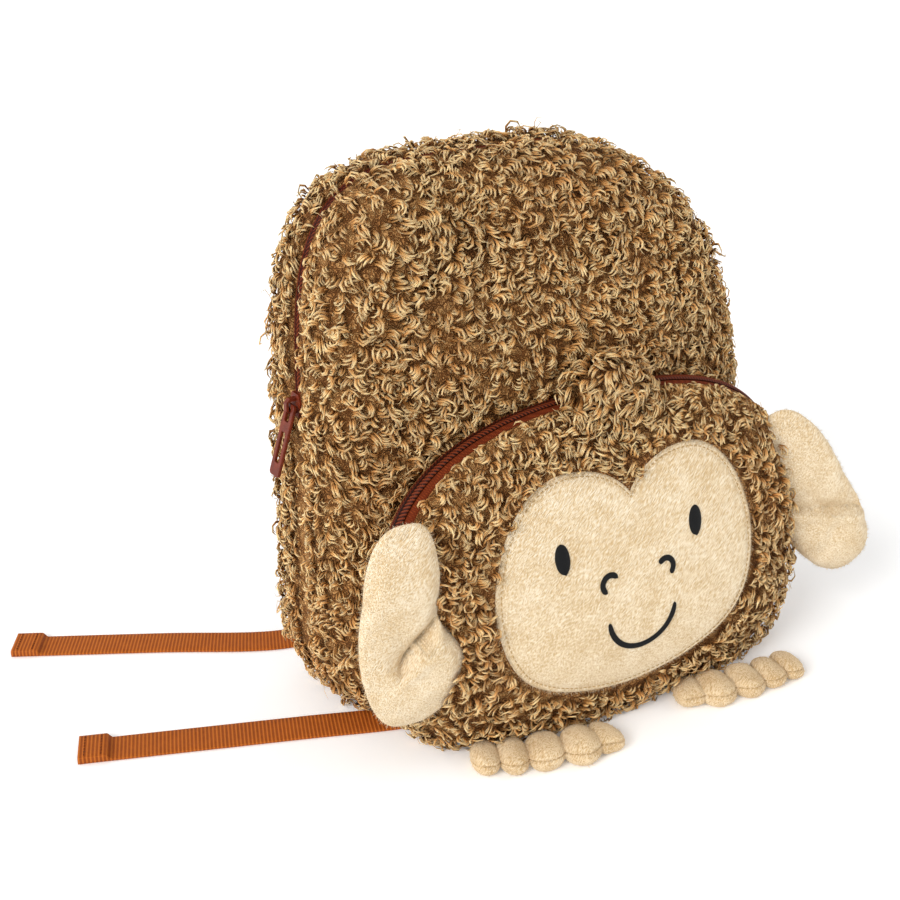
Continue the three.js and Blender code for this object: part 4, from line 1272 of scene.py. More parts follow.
@dataclass(frozen=True)
class Stuffing:
    """How sewn plush gives to its stuffing: a short run of Blender's cloth, held where it is sewn.

    The cloth is a remeshed copy of a form, larger than it by slack, under pressure and without weight. A
    point of the fine form moves by the mean of the cloth's moves near it, weighed by
    exp(-(distance/voxel)^2).
    """

    voxel: float = 3.0
    pressure: float = 4.0
    slack: float = 0.06
    frames: int = 20
    most: float = 1.5

    def moves(self, shape: Shape, held: Array) -> Callable[[Array], Array]:
        """How far the stuffing moves points on or near a form.

        Args:
            shape: the sewn form.
            held: at each of its points, whether it is sewn down there.

        Returns:
            The moves of any points, in millimetres and at most as long as most.
        """
        mesh = bpy.data.meshes.new("stuffing")
        faces = [face for faces in shape.faces for face in faces.tolist()]
        mesh.from_pydata((shape.points * MM).tolist(), [], faces)
        cloth = add_object("stuffing", mesh)
        scene = bpy.context.scene
        remesh = cloth.modifiers.new("remesh", "REMESH")
        remesh.mode = "VOXEL"
        remesh.voxel_size = self.voxel * MM
        even = bpy.data.meshes.new_from_object(cloth.evaluated_get(bpy.context.evaluated_depsgraph_get()))
        cloth.modifiers.clear()
        cloth.data = even
        before = self.places(even)
        near = self.squares(before, shape.points).argmin(axis=1)
        sewn = cloth.vertex_groups.new(name="sewn")
        sewn.add(np.flatnonzero(held[near]).tolist(), 1.0, "REPLACE")
        settings = cloth.modifiers.new("cloth", "CLOTH").settings
        settings.vertex_group_mass = sewn.name
        settings.use_pressure = True
        settings.uniform_pressure_force = self.pressure
        settings.shrink_min = -self.slack
        settings.effector_weights.gravity = 0.0
        for number in range(1, self.frames + 1):
            scene.frame_set(number)
        after = self.places(cloth.evaluated_get(bpy.context.evaluated_depsgraph_get()).data)
        bpy.data.objects.remove(cloth)
        bpy.data.meshes.remove(mesh)
        bpy.data.meshes.remove(even)
        scene.frame_set(1)
        moved = after - before
        length = np.linalg.norm(moved, axis=1, keepdims=True)
        moved = moved * np.minimum(1.0, self.most / np.maximum(length, 1e-6))
        LOG.info("stuffing: %d points of cloth, moved up to %.1f mm", len(before), length.max())

        def give(points: Array) -> Array:
            """The moves of points, from the cloth's points near them."""
            flat = points.reshape(-1, 3)
            weight = np.exp(-self.squares(flat, before) / self.voxel**2) + 1e-12
            return (weight @ moved / weight.sum(axis=1, keepdims=True)).reshape(points.shape)

        return give

    def places(self, mesh: bpy.types.Mesh) -> Array:
        """A mesh's points, in millimetres."""
        flat = np.empty(3 * len(mesh.vertices), np.float32)
        mesh.vertices.foreach_get("co", flat)
        return flat.reshape(-1, 3).astype(float) / MM

    def squares(self, first: Array, second: Array) -> Array:
        """Squared distances between two sets of points."""
        gaps = (first**2).sum(axis=1)[:, None] + (second**2).sum(axis=1) - 2 * first @ second.T
        return np.maximum(gaps, 0.0)


STUFFING = Stuffing()


@dataclass
class Ear:
    """A stuffed plush ear sewn to the pocket's side, with a pleat over which its lobe folds.

    outer and inner are its half widths away from the head and towards it, about its middle. powers are those
    of its outline's quarters: the upper outer one, the upper inner, the lower inner and the lower outer.
    """

    name: str
    side: int
    place: tuple
    turn: float
    tilt: float
    middle: float
    outer: float
    inner: float
    high: float
    low: float
    powers: tuple
    pleat_from: tuple
    pleat_to: tuple
    depth: float
    lift: float
    nip: float = 0.0
    thick: float = 6.5
    width: float = 8.0
    step: float = 2.6
    columns: int = 132
    clearance: float = 0.6
    root: float = 4.0
    fold_half: float = 3.0
    hairs: int = 2400

    @property
    def frame(self) -> Array:
        """The turn from the ear's own axes to the bag's."""
        t, u = np.radians(self.tilt), np.radians(self.side * self.turn)
        tip = np.array([[np.cos(t), 0, np.sin(t)], [0, 1, 0], [-np.sin(t), 0, np.cos(t)]])
        swing = np.array([[np.cos(u), -np.sin(u), 0], [np.sin(u), np.cos(u), 0], [0, 0, 1]])
        return swing @ tip

    def rim(self, angle: Array) -> Array:
        """Radius of the outline about the ear's middle along an angle."""
        up, out = np.sin(angle) >= 0, np.cos(angle) > 0
        wide, high = np.where(out, self.outer, self.inner), np.where(up, self.high, self.low)
        quarters = np.where(out, 0, 1) + np.where(up, 0, np.where(out, 3, 1))
        return super_radius(angle, wide, high, np.array(self.powers, float)[quarters])

    def local(self, points: Array) -> tuple[Array, Array, Array]:
        """Places in the ear's own axes: how far out, back and up they are."""
        x, y, z = np.moveaxis((points - np.array(self.place, float)) @ self.frame, -1, 0)
        return self.side * x, y, z

    def fold(self, out: Array, up: Array) -> tuple[Array, Array]:
        """How far along the pleat's fold a place is, as a share of it, and how far above it."""
        begin, end = np.array(self.pleat_from, float), np.array(self.pleat_to, float)
        along = end - begin
        share = ((out - begin[0]) * along[0] + (up - begin[1]) * along[1]) / (along @ along)
        off = (along[0] * (up - begin[1]) - along[1] * (out - begin[0])) / np.linalg.norm(along)
        return share, off

    def pleat(self, out: Array, up: Array, reach: Array) -> Array:
        """How far the pleat pushes a place back and the lobe under it stands forward.

        Above the fold's line the skin sinks towards it as exp(-off/width). Below, it steps out to the lobe.
        """
        share, off = self.fold(out, up)
        sunk = (0.4 + 0.6 * smoothstep(share, 0.0, 0.8)) * (1 - smoothstep(share, 0.9, 1.25))
        out_step = smoothstep(-off, 0.0, self.step)
        valley = self.depth * sunk * np.where(off > 0, np.exp(-np.maximum(off, 0) / self.width), 1 - out_step)
        lobe = self.lift * out_step * (1 - smoothstep(share, 0.5, 1.5))
        return (valley - lobe) * (1 - 0.8 * np.minimum(reach, 1) ** 8)

    def drawn(self, across: Array, up: Array) -> Array:
        """How much the pleat draws in the ear's inner edge above it."""
        return np.where(across < 0, 1 - self.nip * smoothstep(up, -22, 4), 1.0)

    def swell(self, reach: Array) -> Array:
        """Half the ear's thickness at a share of the way to its rim."""
        return self.thick * np.sqrt(np.maximum(1 - reach**2.4, 0))

    def shape(self) -> Shape:
        """Two faces that share their rim: (out, pleat -+ swell, up) on polar rings."""
        turns = np.linspace(0, 2 * np.pi, self.columns, endpoint=False)
        rings = np.sin(np.linspace(0, np.pi / 2, 39)[1:])
        angle, reach = np.meshgrid(turns, rings)
        radius = reach * self.rim(angle)
        across, up = radius * np.cos(angle), radius * np.sin(angle)
        out = self.middle + across * self.drawn(across, up)
        pushed = self.pleat(out, up, reach)
        faces = [np.stack([self.side * out, pushed - way * self.swell(reach), up], -1) for way in (1, -1)]
        centre = float(self.pleat(np.array(self.middle), np.array(0.0), np.array(0.0)))
        tips = [np.array([[self.side * self.middle, centre - way * self.thick, 0.0]]) for way in (1, -1)]
        shape = capped(np.concatenate([faces[0], faces[1][-2::-1]]), np.concatenate(tips))
        shape.points = shape.points @ self.frame.T + np.array(self.place, float)
        return shape

    def holds(self, path: Array) -> Array:
        """Which ribbons have a point inside the ear."""
        out, back, up = self.local(path)
        across = out - self.middle
        across = across / self.drawn(across, up)
        reach = np.hypot(up, across) / self.rim(np.arctan2(up, across))
        half = self.swell(np.minimum(reach, 1)) + self.clearance
        near = np.abs(back - self.pleat(out, up, reach)) < half
        return np.any(near & (reach < 1.0), axis=1)

    def sewn(self, points: Array) -> Array:
        """Which points are held: at the head, and along the pleat's fold."""
        out, _, up = self.local(points)
        share, off = self.fold(out, up)
        return (out < self.root) | ((np.abs(off) < self.fold_half) & (share > 0) & (share < 1))

    def build(self, nap: Pile) -> None:
        """Adds the stuffed ear and the nap that stands off it."""
        shape = self.shape()
        shape.points = shape.points + STUFFING.moves(shape, self.sewn(shape.points))(shape.points)
        add_piece(f"plush_{self.name}", shape, Finish.PLUSH, self.name)
        rings = np.linspace(-1, 1, len(shape.faces[0]) // self.columns)
        weight = np.repeat(0.4 + 3.0 * np.exp(-((rings / 0.3) ** 2)), self.columns)
        add_piece(f"{self.name}_nap", nap.cover(shape, self.hairs, weight), Finish.PLUSH)


EARS = (
    Ear("ear_left", -1, (-99, -89, 90), turn=6, tilt=4, middle=26, outer=23.5, inner=32, high=52.5, low=56.0,
        powers=(3.2, 2.2, 3.2, 2.0), pleat_from=(9, 5), pleat_to=(27, -23), depth=11.0, lift=4.5, nip=0.5),
    Ear("ear_right", 1, (117, -84, 80), turn=-20, tilt=-32, middle=25.5, outer=23.4, inner=25.5, high=56,
        low=58, powers=(2.6, 2.2, 2.2, 2.8), pleat_from=(4.5, 6), pleat_to=(70, -47.5), depth=6.5, lift=3.5),
)


@dataclass
class Foot:
    """A stuffed plush foot: a row of five toes, drawn in between them.

    A toe's row gives its place across the foot and to the front, and half its width, length and height.
    """

    name: str
    side: int
    place: tuple
    turn: float
    toes: tuple = (
        (-35.5, 3.0, 7.4, 11.6, 5.8),
        (-21.8, 4.5, 8.6, 12.4, 6.2),
        (-5.0, 4.5, 10.2, 12.8, 6.9),
        (14.8, 3.0, 11.6, 13.3, 7.3),
        (29.5, -3.0, 9.0, 10.8, 5.5),
    )
    rise: float = 0.82
    waist: float = 0.52
    seam: float = 0.45
    fan: float = 0.009
    ball_power: float = 2.1
    round_power: float = 0.92
    clearance: float = 1.05
    root: float = -4.0
    sole: float = 0.6
    stitch_length: float = 2.3
    hairs: int = 1200

    def world(self, along: Array, forward: Array, up: Array) -> Array:
        """Points of the foot's own axes in the bag's."""
        x, y = -self.side * along, -forward
        u = np.radians(self.turn)
        return np.stack([self.place[0] + x * np.cos(u) - y * np.sin(u),
                         self.place[1] + x * np.sin(u) + y * np.cos(u), up], -1)

    def local(self, points: Array) -> tuple[Array, Array]:
        """How far across the foot and to its front places of the bag's axes are."""
        u = np.radians(self.turn)
        x, y = np.moveaxis(points[..., :2] - np.array(self.place, float), -1, 0)
        return -self.side * (x * np.cos(u) + y * np.sin(u)), x * np.sin(u) - y * np.cos(u)

    def section(self, t: Array, turns: Array, sunk: Array | float = 0.0) -> Array:
        """Points of the foot's sections, each as large as its toe is there.

        A section at t is scaled by the largest of (1 - |(t - along)/wide|^p)^(1/p) over the toes, but by no
        less than waist between two of them. p is ball_power. Its middle and half sizes run straight from toe
        to toe, and its outline is cos and sin to round_power.

        Args:
            t: places across the foot.
            turns: angles round each section, from its front.
            sunk: how far the skin is drawn in there.

        Returns:
            The points, for each place and angle.
        """
        along, forward, wide, long, tall = np.array(self.toes, float).T
        off = np.minimum(np.abs((t[..., None] - along) / wide), 1)
        balls = (1 - off**self.ball_power) ** (1 / self.ball_power)
        scale = np.maximum(balls.max(axis=-1), np.where((t > along[0]) & (t < along[-1]), self.waist, 0.0))
        ahead, length, height = (np.interp(t, along, values) for values in (forward, long, tall))
        out = ahead + (length * scale - sunk) * signed_power(np.cos(turns), self.round_power)
        up = self.rise * height + (height * scale - sunk) * signed_power(np.sin(turns), self.round_power)
        return self.world(t + self.fan * np.maximum(t, 0) * out, out, np.maximum(up, FLOOR_CLEARANCE))

    def shape(self) -> Shape:
        """The stuffed foot: sections across it, drawn in along the seam round the toes' fronts."""
        along, forward, wide, _, tall = np.array(self.toes, float).T
        between = (along[1:] + along[:-1] + wide[:-1] - wide[1:]) / 2
        edges = np.r_[along[0] - wide[0], between, along[-1] + wide[-1]]
        eased = (1 - np.cos(np.linspace(0, np.pi, 22)[1:-1])) / 2
        t = np.concatenate([low + (high - low) * eased for low, high in zip(edges[:-1], edges[1:])])
        turns = np.linspace(-np.pi, np.pi, 72, endpoint=False)
        grid = np.meshgrid(turns, t)
        drawn = 1.1 * np.exp(-(((grid[0] - self.seam) / 0.1) ** 2))
        tips = self.world(edges[[0, -1]], forward[[0, -1]], self.rise * tall[[0, -1]])
        return capped(self.section(grid[1], grid[0], drawn), tips)

    def seam_stitches(self) -> Shape:
        """Short stitches along the seam, each a thread with sunk ends."""
        start, end = self.toes[0][0] - 3.5, self.toes[-1][0] + 4.5
        places, s = stitch_places(end - start, int((end - start) / self.stitch_length), 0.12, 5)
        places = start + places
        sunk = 0.95 - 0.35 * np.sin(np.pi * s)
        return thread_run(self.section(places, np.full(places.shape, self.seam), sunk), 0.26)

    def holds(self, path: Array) -> Array:
        """Which ribbons have a point inside the front of one of the toes."""
        across, front = self.local(path)
        inside = np.full(across.shape, False)
        for along, forward, wide, long, tall in self.toes:
            up = (path[..., 2] - self.rise * tall) / tall
            off = ((across - along) / wide) ** 2 + ((front - forward) / long) ** 2 + up**2
            inside |= (off < self.clearance) & (front > forward - 5)
        return np.any(inside, axis=1)

    def sewn(self, points: Array) -> Array:
        """Which points are held: at the pocket, and on the floor."""
        return (self.local(points)[1] < self.root) | (points[:, 2] < self.sole)

    def stand(self, points: Array) -> Array:
        """Points, with none of them under the floor."""
        return np.concatenate([points[:, :2], np.maximum(points[:, 2:], FLOOR_CLEARANCE)], axis=1)

    def build(self, nap: Pile) -> None:
        """Adds the stuffed foot, its stitches and the nap that stands off it."""
        shape, stitches = self.shape(), self.seam_stitches()
        give = STUFFING.moves(shape, self.sewn(shape.points))
        shape.points = self.stand(shape.points + give(shape.points))
        stitches.points = self.stand(stitches.points + give(stitches.points))
        add_piece(f"plush_{self.name}", shape, Finish.TOES, self.name)
        add_piece(f"{self.name}_stitches", stitches, Finish.SEWING)
        add_piece(f"{self.name}_nap", nap.cover(shape, self.hairs), Finish.TOES)


FEET = (
    Foot("foot_left", -1, (-51, -106.5), -23),
    Foot("foot_right", 1, (69, -113), -5),
)


@dataclass
class Zip:
    """A closed coil zip in a skin: a woven tape with a two-row nylon coil on it.

    around and over are the ranges of the skin's angles that the tape takes up, and coil is the coil's over.
    """

    name: str
    skin: Skin
    around: tuple
    over: tuple
    coil: tuple
    pitch: float
    height: float = 1.5
    lift: float = 1.2

    def chain(self) -> Shape:
        """The coil: a low dome along the zip, with a slanted bump on each half of it for each turn.

        Its lift at a place w across and s along is height (1 - w^4)^(1/2) (0.3 + 0.7 rib), where rib is
        |sin(pi s/pitch + 5 |w|)| with a groove between the halves.
        """
        fine = np.linspace(*self.around, 900)
        run = run_along(self.skin(fine, np.full_like(fine, sum(self.coil) / 2), 0.0))
        s = np.linspace(0, run[-1], int(run[-1] / self.pitch) * 3 + 1)
        turns = np.interp(s, run, fine)
        w = np.linspace(-1, 1, 11)
        phase = np.pi * s[:, None] / self.pitch + 5.0 * np.abs(w)
        groove = 1 - 0.85 * np.exp(-((w / 0.18) ** 2))
        rib = np.abs(np.sin(phase)) * groove
        lift = self.height * np.sqrt(1 - w**4) * (0.3 + 0.7 * rib)
        grid = np.meshgrid(np.interp(w, [-1, 1], self.coil), turns)
        top = self.skin(grid[1], grid[0], -self.lift - 0.6)
        out = unit(np.cross(np.gradient(top, axis=0), np.gradient(top, axis=1)))
        centre = top.mean(axis=(0, 1))
        out = out * np.sign(np.sum(out * (top - centre), axis=(0, 1)).sum())
        under = (top - 0.3 * out)[:, [10, 5, 0]]
        points = np.concatenate([top + lift[..., None] * out, under], axis=1)
        rows, cols = points.shape[:2]
        ring = np.arange(cols)
        fan = np.stack([ring, (ring + 1) % cols, np.full(cols, cols - 2)], -1)
        fan = fan[(ring != cols - 2) & (ring != cols - 3)]
        faces = [grid_quads(rows, cols, True), np.concatenate([fan[:, ::-1], fan + (rows - 1) * cols])]
        shape = Shape(points.reshape(-1, 3), faces).outward()
        # rib also colours the coil: painted shade between the turns, painted highlight on their crests.
        shape.layers = {"rib": np.concatenate([rib, np.zeros((rows, 3))], axis=1).ravel()}
        return shape

    def build(self) -> None:
        """Adds the tape and the coil."""
        tape = shell(self.skin, self.around, self.over, (150, 4), -self.lift, 3.2)
        add_piece(f"{self.name}_tape_weave", tape, Finish.TAPE, f"{self.name}_tape")
        add_piece(f"{self.name}_coil", self.chain(), Finish.COIL, f"{self.name}_chain")


MAIN_ZIP = Zip("main_zip", BAG_SKIN, (18, 162), (-8.3, 0.3), (-6.8, -1.2), 2.2, lift=0.9)
POCKET_ZIP = Zip("pocket_zip", POCKET_SKIN, (12, 168), (-15, 12.5), (-14.5, 1.5), 2.0)


@dataclass
class ZipPull:
    """The main zip's pull: an enamelled slotted tab that hangs from the slider."""

    lean: float = 16
    half: float = 4.6
    bar: float = 0.9
    end: float = 37
    windows: tuple = ((0.9, 8.5), (14, 30))
    window_half: float = 2.1
    edge: float = 0.35
    clear_half: float = 6.5
    clear_run: tuple = (-9, 39)
    clear_under: float = -3.2

    @property
    def hinge(self) -> Array:
        """Where the tab hangs, in metres."""
        places = {joint["name"]: joint["pos_m"] for joint in frame["joints"]}
        return np.array(places["zip_pull_swing"])

    def outline(self, half: float, low: float, high: float, round_off: float) -> Array:
        """A rounded rectangle's corners as points, going round once."""
        turns = np.radians(np.arange(0, 360, 15))
        corner = np.floor(np.arange(24) / 6)
        x = np.where((corner == 0) | (corner == 3), half - round_off, round_off - half)
        y = np.where(corner < 2, high - round_off, low + round_off)
        return np.stack([x + round_off * np.cos(turns), y + round_off * np.sin(turns)], -1)

    def build(self) -> None:
        """Adds the tab: its outline and two slots, filled, thickened and eased at the edges."""
        curve = bpy.data.curves.new("pull_outline", "CURVE")
        curve.dimensions = "2D"
        curve.fill_mode = "BOTH"
        curve.extrude = (self.bar - self.edge) * MM
        curve.bevel_depth = self.edge * MM
        curve.bevel_resolution = 2
        eased = self.edge
        loops = [self.outline(self.half - eased, -self.bar + eased, self.end - eased, 1.6)]
        loops += [self.outline(self.window_half + eased, low - eased, high + eased, 1.2)
                  for low, high in self.windows]
        for loop in loops:
            line = curve.splines.new("POLY")
            line.points.add(len(loop) - 1)
            flat = np.concatenate([loop * MM, np.zeros((len(loop), 1)), np.ones((len(loop), 1))], 1)
            line.points.foreach_set("co", flat.ravel())
            line.use_cyclic_u = True
        maker = add_object("pull_maker", curve)
        graph = bpy.context.evaluated_depsgraph_get()
        mesh = bpy.data.meshes.new_from_object(maker.evaluated_get(graph))
        bpy.data.objects.remove(maker)
        mesh.transform(Matrix.Translation(Vector(self.hinge)) @ self.turn())
        made = bmesh.new()
        made.from_mesh(mesh)
        bmesh.ops.remove_doubles(made, verts=made.verts, dist=1e-6)
        bmesh.ops.recalc_face_normals(made, faces=made.faces)
        made.to_mesh(mesh)
        made.free()
        enlist(add_object("zip_pull_tab", mesh), Finish.ENAMEL, "main_zip_pull", body="zip_pull")

    def turn(self) -> Matrix:
        """The turn from the tab's own axes, across, down and out, to the bag's."""
        run = np.diff(BAG.skin(np.array([158.6, 160.6]), np.full(2, -4.0), -1.0), axis=0)[0]
        across = np.array([0.0, 1.0, 0.0])
        out = unit(np.cross(across, run))
        down = np.cross(out, across)
        basis = Matrix(np.stack([across, down, out], 1).tolist()).to_4x4()
        return basis @ Matrix.Rotation(np.radians(self.lean), 4, "X")

    def holds(self, path: Array) -> Array:
        """Which ribbons come near the tab or the slider above it."""
        local = (path - self.hinge / MM) @ np.array(self.turn().to_3x3())
        across, down, out = np.moveaxis(local, -1, 0)
        beside = (np.abs(across) < self.clear_half) & (out > self.clear_under)
        return np.any(beside & (down > self.clear_run[0]) & (down < self.clear_run[1]), axis=1)


def sweep(path: Array, width: Array, section: Array) -> Shape:
    """A closed band: a ring of section points carried along a path.

    Args:
        path: points of the path.
        width: which way the band's width points, one row for each point of the path.
        section: the ring's points, as a place across and a height, for each point of the path.

    Returns:
        path + across * width + height * (width x tangent), closed by fans at both ends.
    """
    rise = unit(np.cross(width, np.gradient(path, axis=0)))
    width = unit(width)
    points = path[:, None] + section[..., :1] * width[:, None] + section[..., 1:] * rise[:, None]
    return capped(points, points[[0, -1]].mean(axis=1))


@dataclass
class Straps:
    """Padded shoulder straps, plain adjusters, and webbing whose tails lie on the floor.

    A row of pad gives a height, how far behind the back panel the strap is there, half its width and its
    thickness, and one of lower only the first two. A tail's row is its x, y, z and the heading of its width.
    """

    x: float = 46
    pad: tuple = ((250, 1.2, 19, 6), (232, 9, 20, 7), (190, 22, 21, 7), (145, 25, 20, 7), (107.2, 17, 14, 5))
    lower: tuple = ((22, 1.2), (40, 5), (64, 12), (85.1, 16.4))
    web_half: float = 10
    web_thick: float = 1.5
    rib: float = 2.0
    hem_length: float = 14
    hem_thick: float = 4.2
    hem_rows: tuple = (3.0, 11.5)
    hem_run: float = 17
    hem_count: int = 7
    relief: float = 0.14
    tail_left: tuple = (
        (-46, 65.5, 85.1, 180), (-46, 70, 50, 180), (-46, 67, 16, 180), (-46, 51, 2, 180),
        (-46, 25, 0.75, 180), (-46, -4, 0.75, 180), (-50.4, -21.8, 0.75, 152), (-62.7, -35.5, 0.75, 124),
        (-80, -41.8, 0.75, 96), (-98.2, -39.2, 0.75, 70), (-150, -17.8, 0.75, 67.6), (-205, 5, 0.75, 67.6),
        (-256, 26, 0.75, 67.6),
    )
    tail_right: tuple = (
        (46, 65.5, 85.1, 0), (46, 70, 58, 14), (39, 72, 24, 62), (20, 72, 4, 84), (-4, 70, 0.75, 88),
        (-50, 64, 0.75, 86), (-92, 60, 0.75, 80), (-122, 66, 0.75, 66), (-180, 100, 0.75, 60),
        (-253, 142, 0.75, 60),
    )

    def webbing(self, rows: Array, hem: bool) -> Shape:
        """Webbing through rows of x, y, z and the heading of its width, with ribs across it.

        Args:
            rows: the route.
            hem: whether its far end is folded under and stitched.

        Returns:
            A band whose faces rise and fall by relief from rib to rib.
        """
        fine = spline(rows[:, :3], np.linspace(0, 1, 400))
        length = np.linalg.norm(np.diff(fine, axis=0), axis=1).sum()
        count = int(length / self.rib * 3)
        share = even_shares(rows[:, :3], count)
        path = spline(rows[:, :3], share)
        path[:, 2] = np.maximum(path[:, 2], self.web_thick / 2)
        heading = np.radians(np.interp(share, np.linspace(0, 1, len(rows)), rows[:, 3]))
        width = np.stack([np.cos(heading), np.sin(heading), 0 * heading], -1)
        left = length * (1 - np.linspace(0, 1, count))
        fold = (1 - smoothstep(left, self.hem_length, self.hem_length + 3)) if hem else np.zeros(count)
        rib = 0.5 + 0.5 * np.cos(2 * np.pi * np.arange(count) / 3)
        w = np.array([-1, -0.92, -0.5, 0, 0.5, 0.92, 1, 1, 0.92, 0.5, 0, -0.5, -0.92, -1])
        up = np.array([0.3, 1, 1, 1, 1, 1, 0.3, -0.3, -1, -1, -1, -1, -1, -0.3])
        half = self.web_thick / 2 + self.relief * (rib[:, None] - 0.5)
        height = np.where(up > 0, up * half + fold[:, None] * (self.hem_thick - self.web_thick), up * half)
        section = np.stack([np.broadcast_to(w * self.web_half, height.shape), height], -1)
        shape = sweep(path, width, section)
        shape.points[:, 2] = np.maximum(shape.points[:, 2], 0.05)
        # rib also colours the webbing: painted shade in its grooves, painted highlight on its ribs.
        shape.layers = {"rib": np.r_[np.repeat(rib, len(w)), 0.5, 0.5],
                        "across": np.r_[np.tile(w * self.web_half, count), 0.0, 0.0]}
        return shape

    def hem_stitches(self, rows: Array) -> Shape:
        """Rows of stitches across the folded hem."""
        end, before = rows[-1, :3], rows[-2, :3]
        ahead = unit(end - before)
        heading = np.radians(rows[-1, 3])
        side = np.array([np.cos(heading), np.sin(heading), 0.0])
        places, s = stitch_places(self.hem_run, self.hem_count, 0.1, 5)
        places = places - self.hem_run / 2
        lift = self.hem_thick - self.web_thick / 2 + 0.02 + 0.25 * np.sin(np.pi * s)
        lines = places[..., None] * side + lift[:, None] * np.array([0, 0, 1.0])
        return thread_run(np.concatenate([end - ahead * back + lines for back in self.hem_rows]), 0.3)

    def behind(self, rows: tuple, x: float) -> Array:
        """Rows of x, y, z and heading for places that stand so far behind the back panel."""
        table = np.array(rows, float)
        y = BAG.face(np.full(len(table), x), table[:, 0], -1) + table[:, 1]
        return np.stack([np.full(len(table), x), y, table[:, 0], np.zeros(len(table))], -1)

    def shoulder(self, x: float) -> Shape:
        """A padded strap: a crowned section, drawn in at its bound edges."""
        rows = self.behind(self.pad, x)
        share = even_shares(rows[:, :3], 90)
        path = spline(rows[:, :3], share)
        keys = np.arange(len(rows), dtype=float)
        half, thick = (column(keys, values, share * keys[-1]) for values in np.array(self.pad, float).T[2:])
        turns = np.linspace(0, 2 * np.pi, 36, endpoint=False)
        w, crown = signed_power(np.cos(turns), 0.55), signed_power(np.sin(turns), 0.7)
        drawn = 1 - 0.32 * np.exp(-(((np.abs(w) - 0.84) / 0.05) ** 2))
        section = np.stack([half[:, None] * w, thick[:, None] / 2 * (1 + crown * drawn)], -1)
        return sweep(path, np.tile([1.0, 0.0, 0.0], (len(path), 1)), section)

    def build(self) -> None:
        """Adds both sides' straps, webbing and tails, and dresses the adjusters."""
        for side, name, tail in ((-1, "left", self.tail_left), (1, "right", self.tail_right)):
            strap = add_piece(f"padded_strap_{name}", self.shoulder(side * self.x), Finish.CLOTH,
                              f"shoulder_strap_{name}")
            add_piece(f"lower_webbing_{name}", self.webbing(self.behind(self.lower, side * self.x), False),
                      Finish.WEB, f"lower_web_{name}")
            rows = np.array(tail, float)
            add_piece(f"webbing_tail_{name}", self.webbing(rows, True), Finish.WEB, f"strap_tail_{name}")
            add_piece(f"hem_stitches_{name}", self.hem_stitches(rows), Finish.WEB)
            dress(f"strap_adjuster_{name}", Finish.MOULDED)


def dress(node: str, finish: Finish) -> None:
    """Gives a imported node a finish."""
    piece = frame["nodes"][node]
    piece.data.materials.clear()
    piece.data.materials.append(finish.material)
    LOG.info("%s: packed shape", node)


@dataclass
class PileWall:
    """A wall of pile cloth: its ground, which lies foot above the skin, and where its locks grow."""

    node: str
    skin: Skin
    around: tuple
    over: tuple
    cells: tuple
    panel: bool = False
    foot: float = 2.8
    thick: float = 4.0

    def build(self, pile: Pile, bare: Test, stature: Test) -> None:
        """Adds the ground and the locks on it.

        Args:
            pile: grows the locks.
            bare: says at which roots none grow.
            stature: says how tall the pile is at each root.
        """
        ground = shell(self.skin, self.around, self.over, self.cells, -self.foot, self.thick, self.panel)
        add_piece(f"{self.node}_ground", ground, Finish.GROUND, self.node)
        over = (self.over[0], min(self.over[1], 89.0))  # short of the panel's middle, where the normals end
        turns, tilts = pile.scatter(self.skin, self.around, over)
        roots, normals = pile.on_skin(self.skin, turns, tilts)
        grows = ((roots[:, 2] > 2.0) | (normals[:, 2] > -0.5)) & ~bare(roots)
        roots, normals = roots[grows], normals[grows]
        tall = stature(roots)
        add_piece(f"{self.node}_pile", pile.grow(roots, normals, HANGING, tall), Finish.PILE, self.node)
        fine = Pile(WISP_STYLE, pile.rng, pile.blocks)
        wisps = fine.grow(roots[::3], normals[::3], HANGING, tall[::3])
        add_piece(f"{self.node}_wisps", wisps, Finish.PILE, self.node)


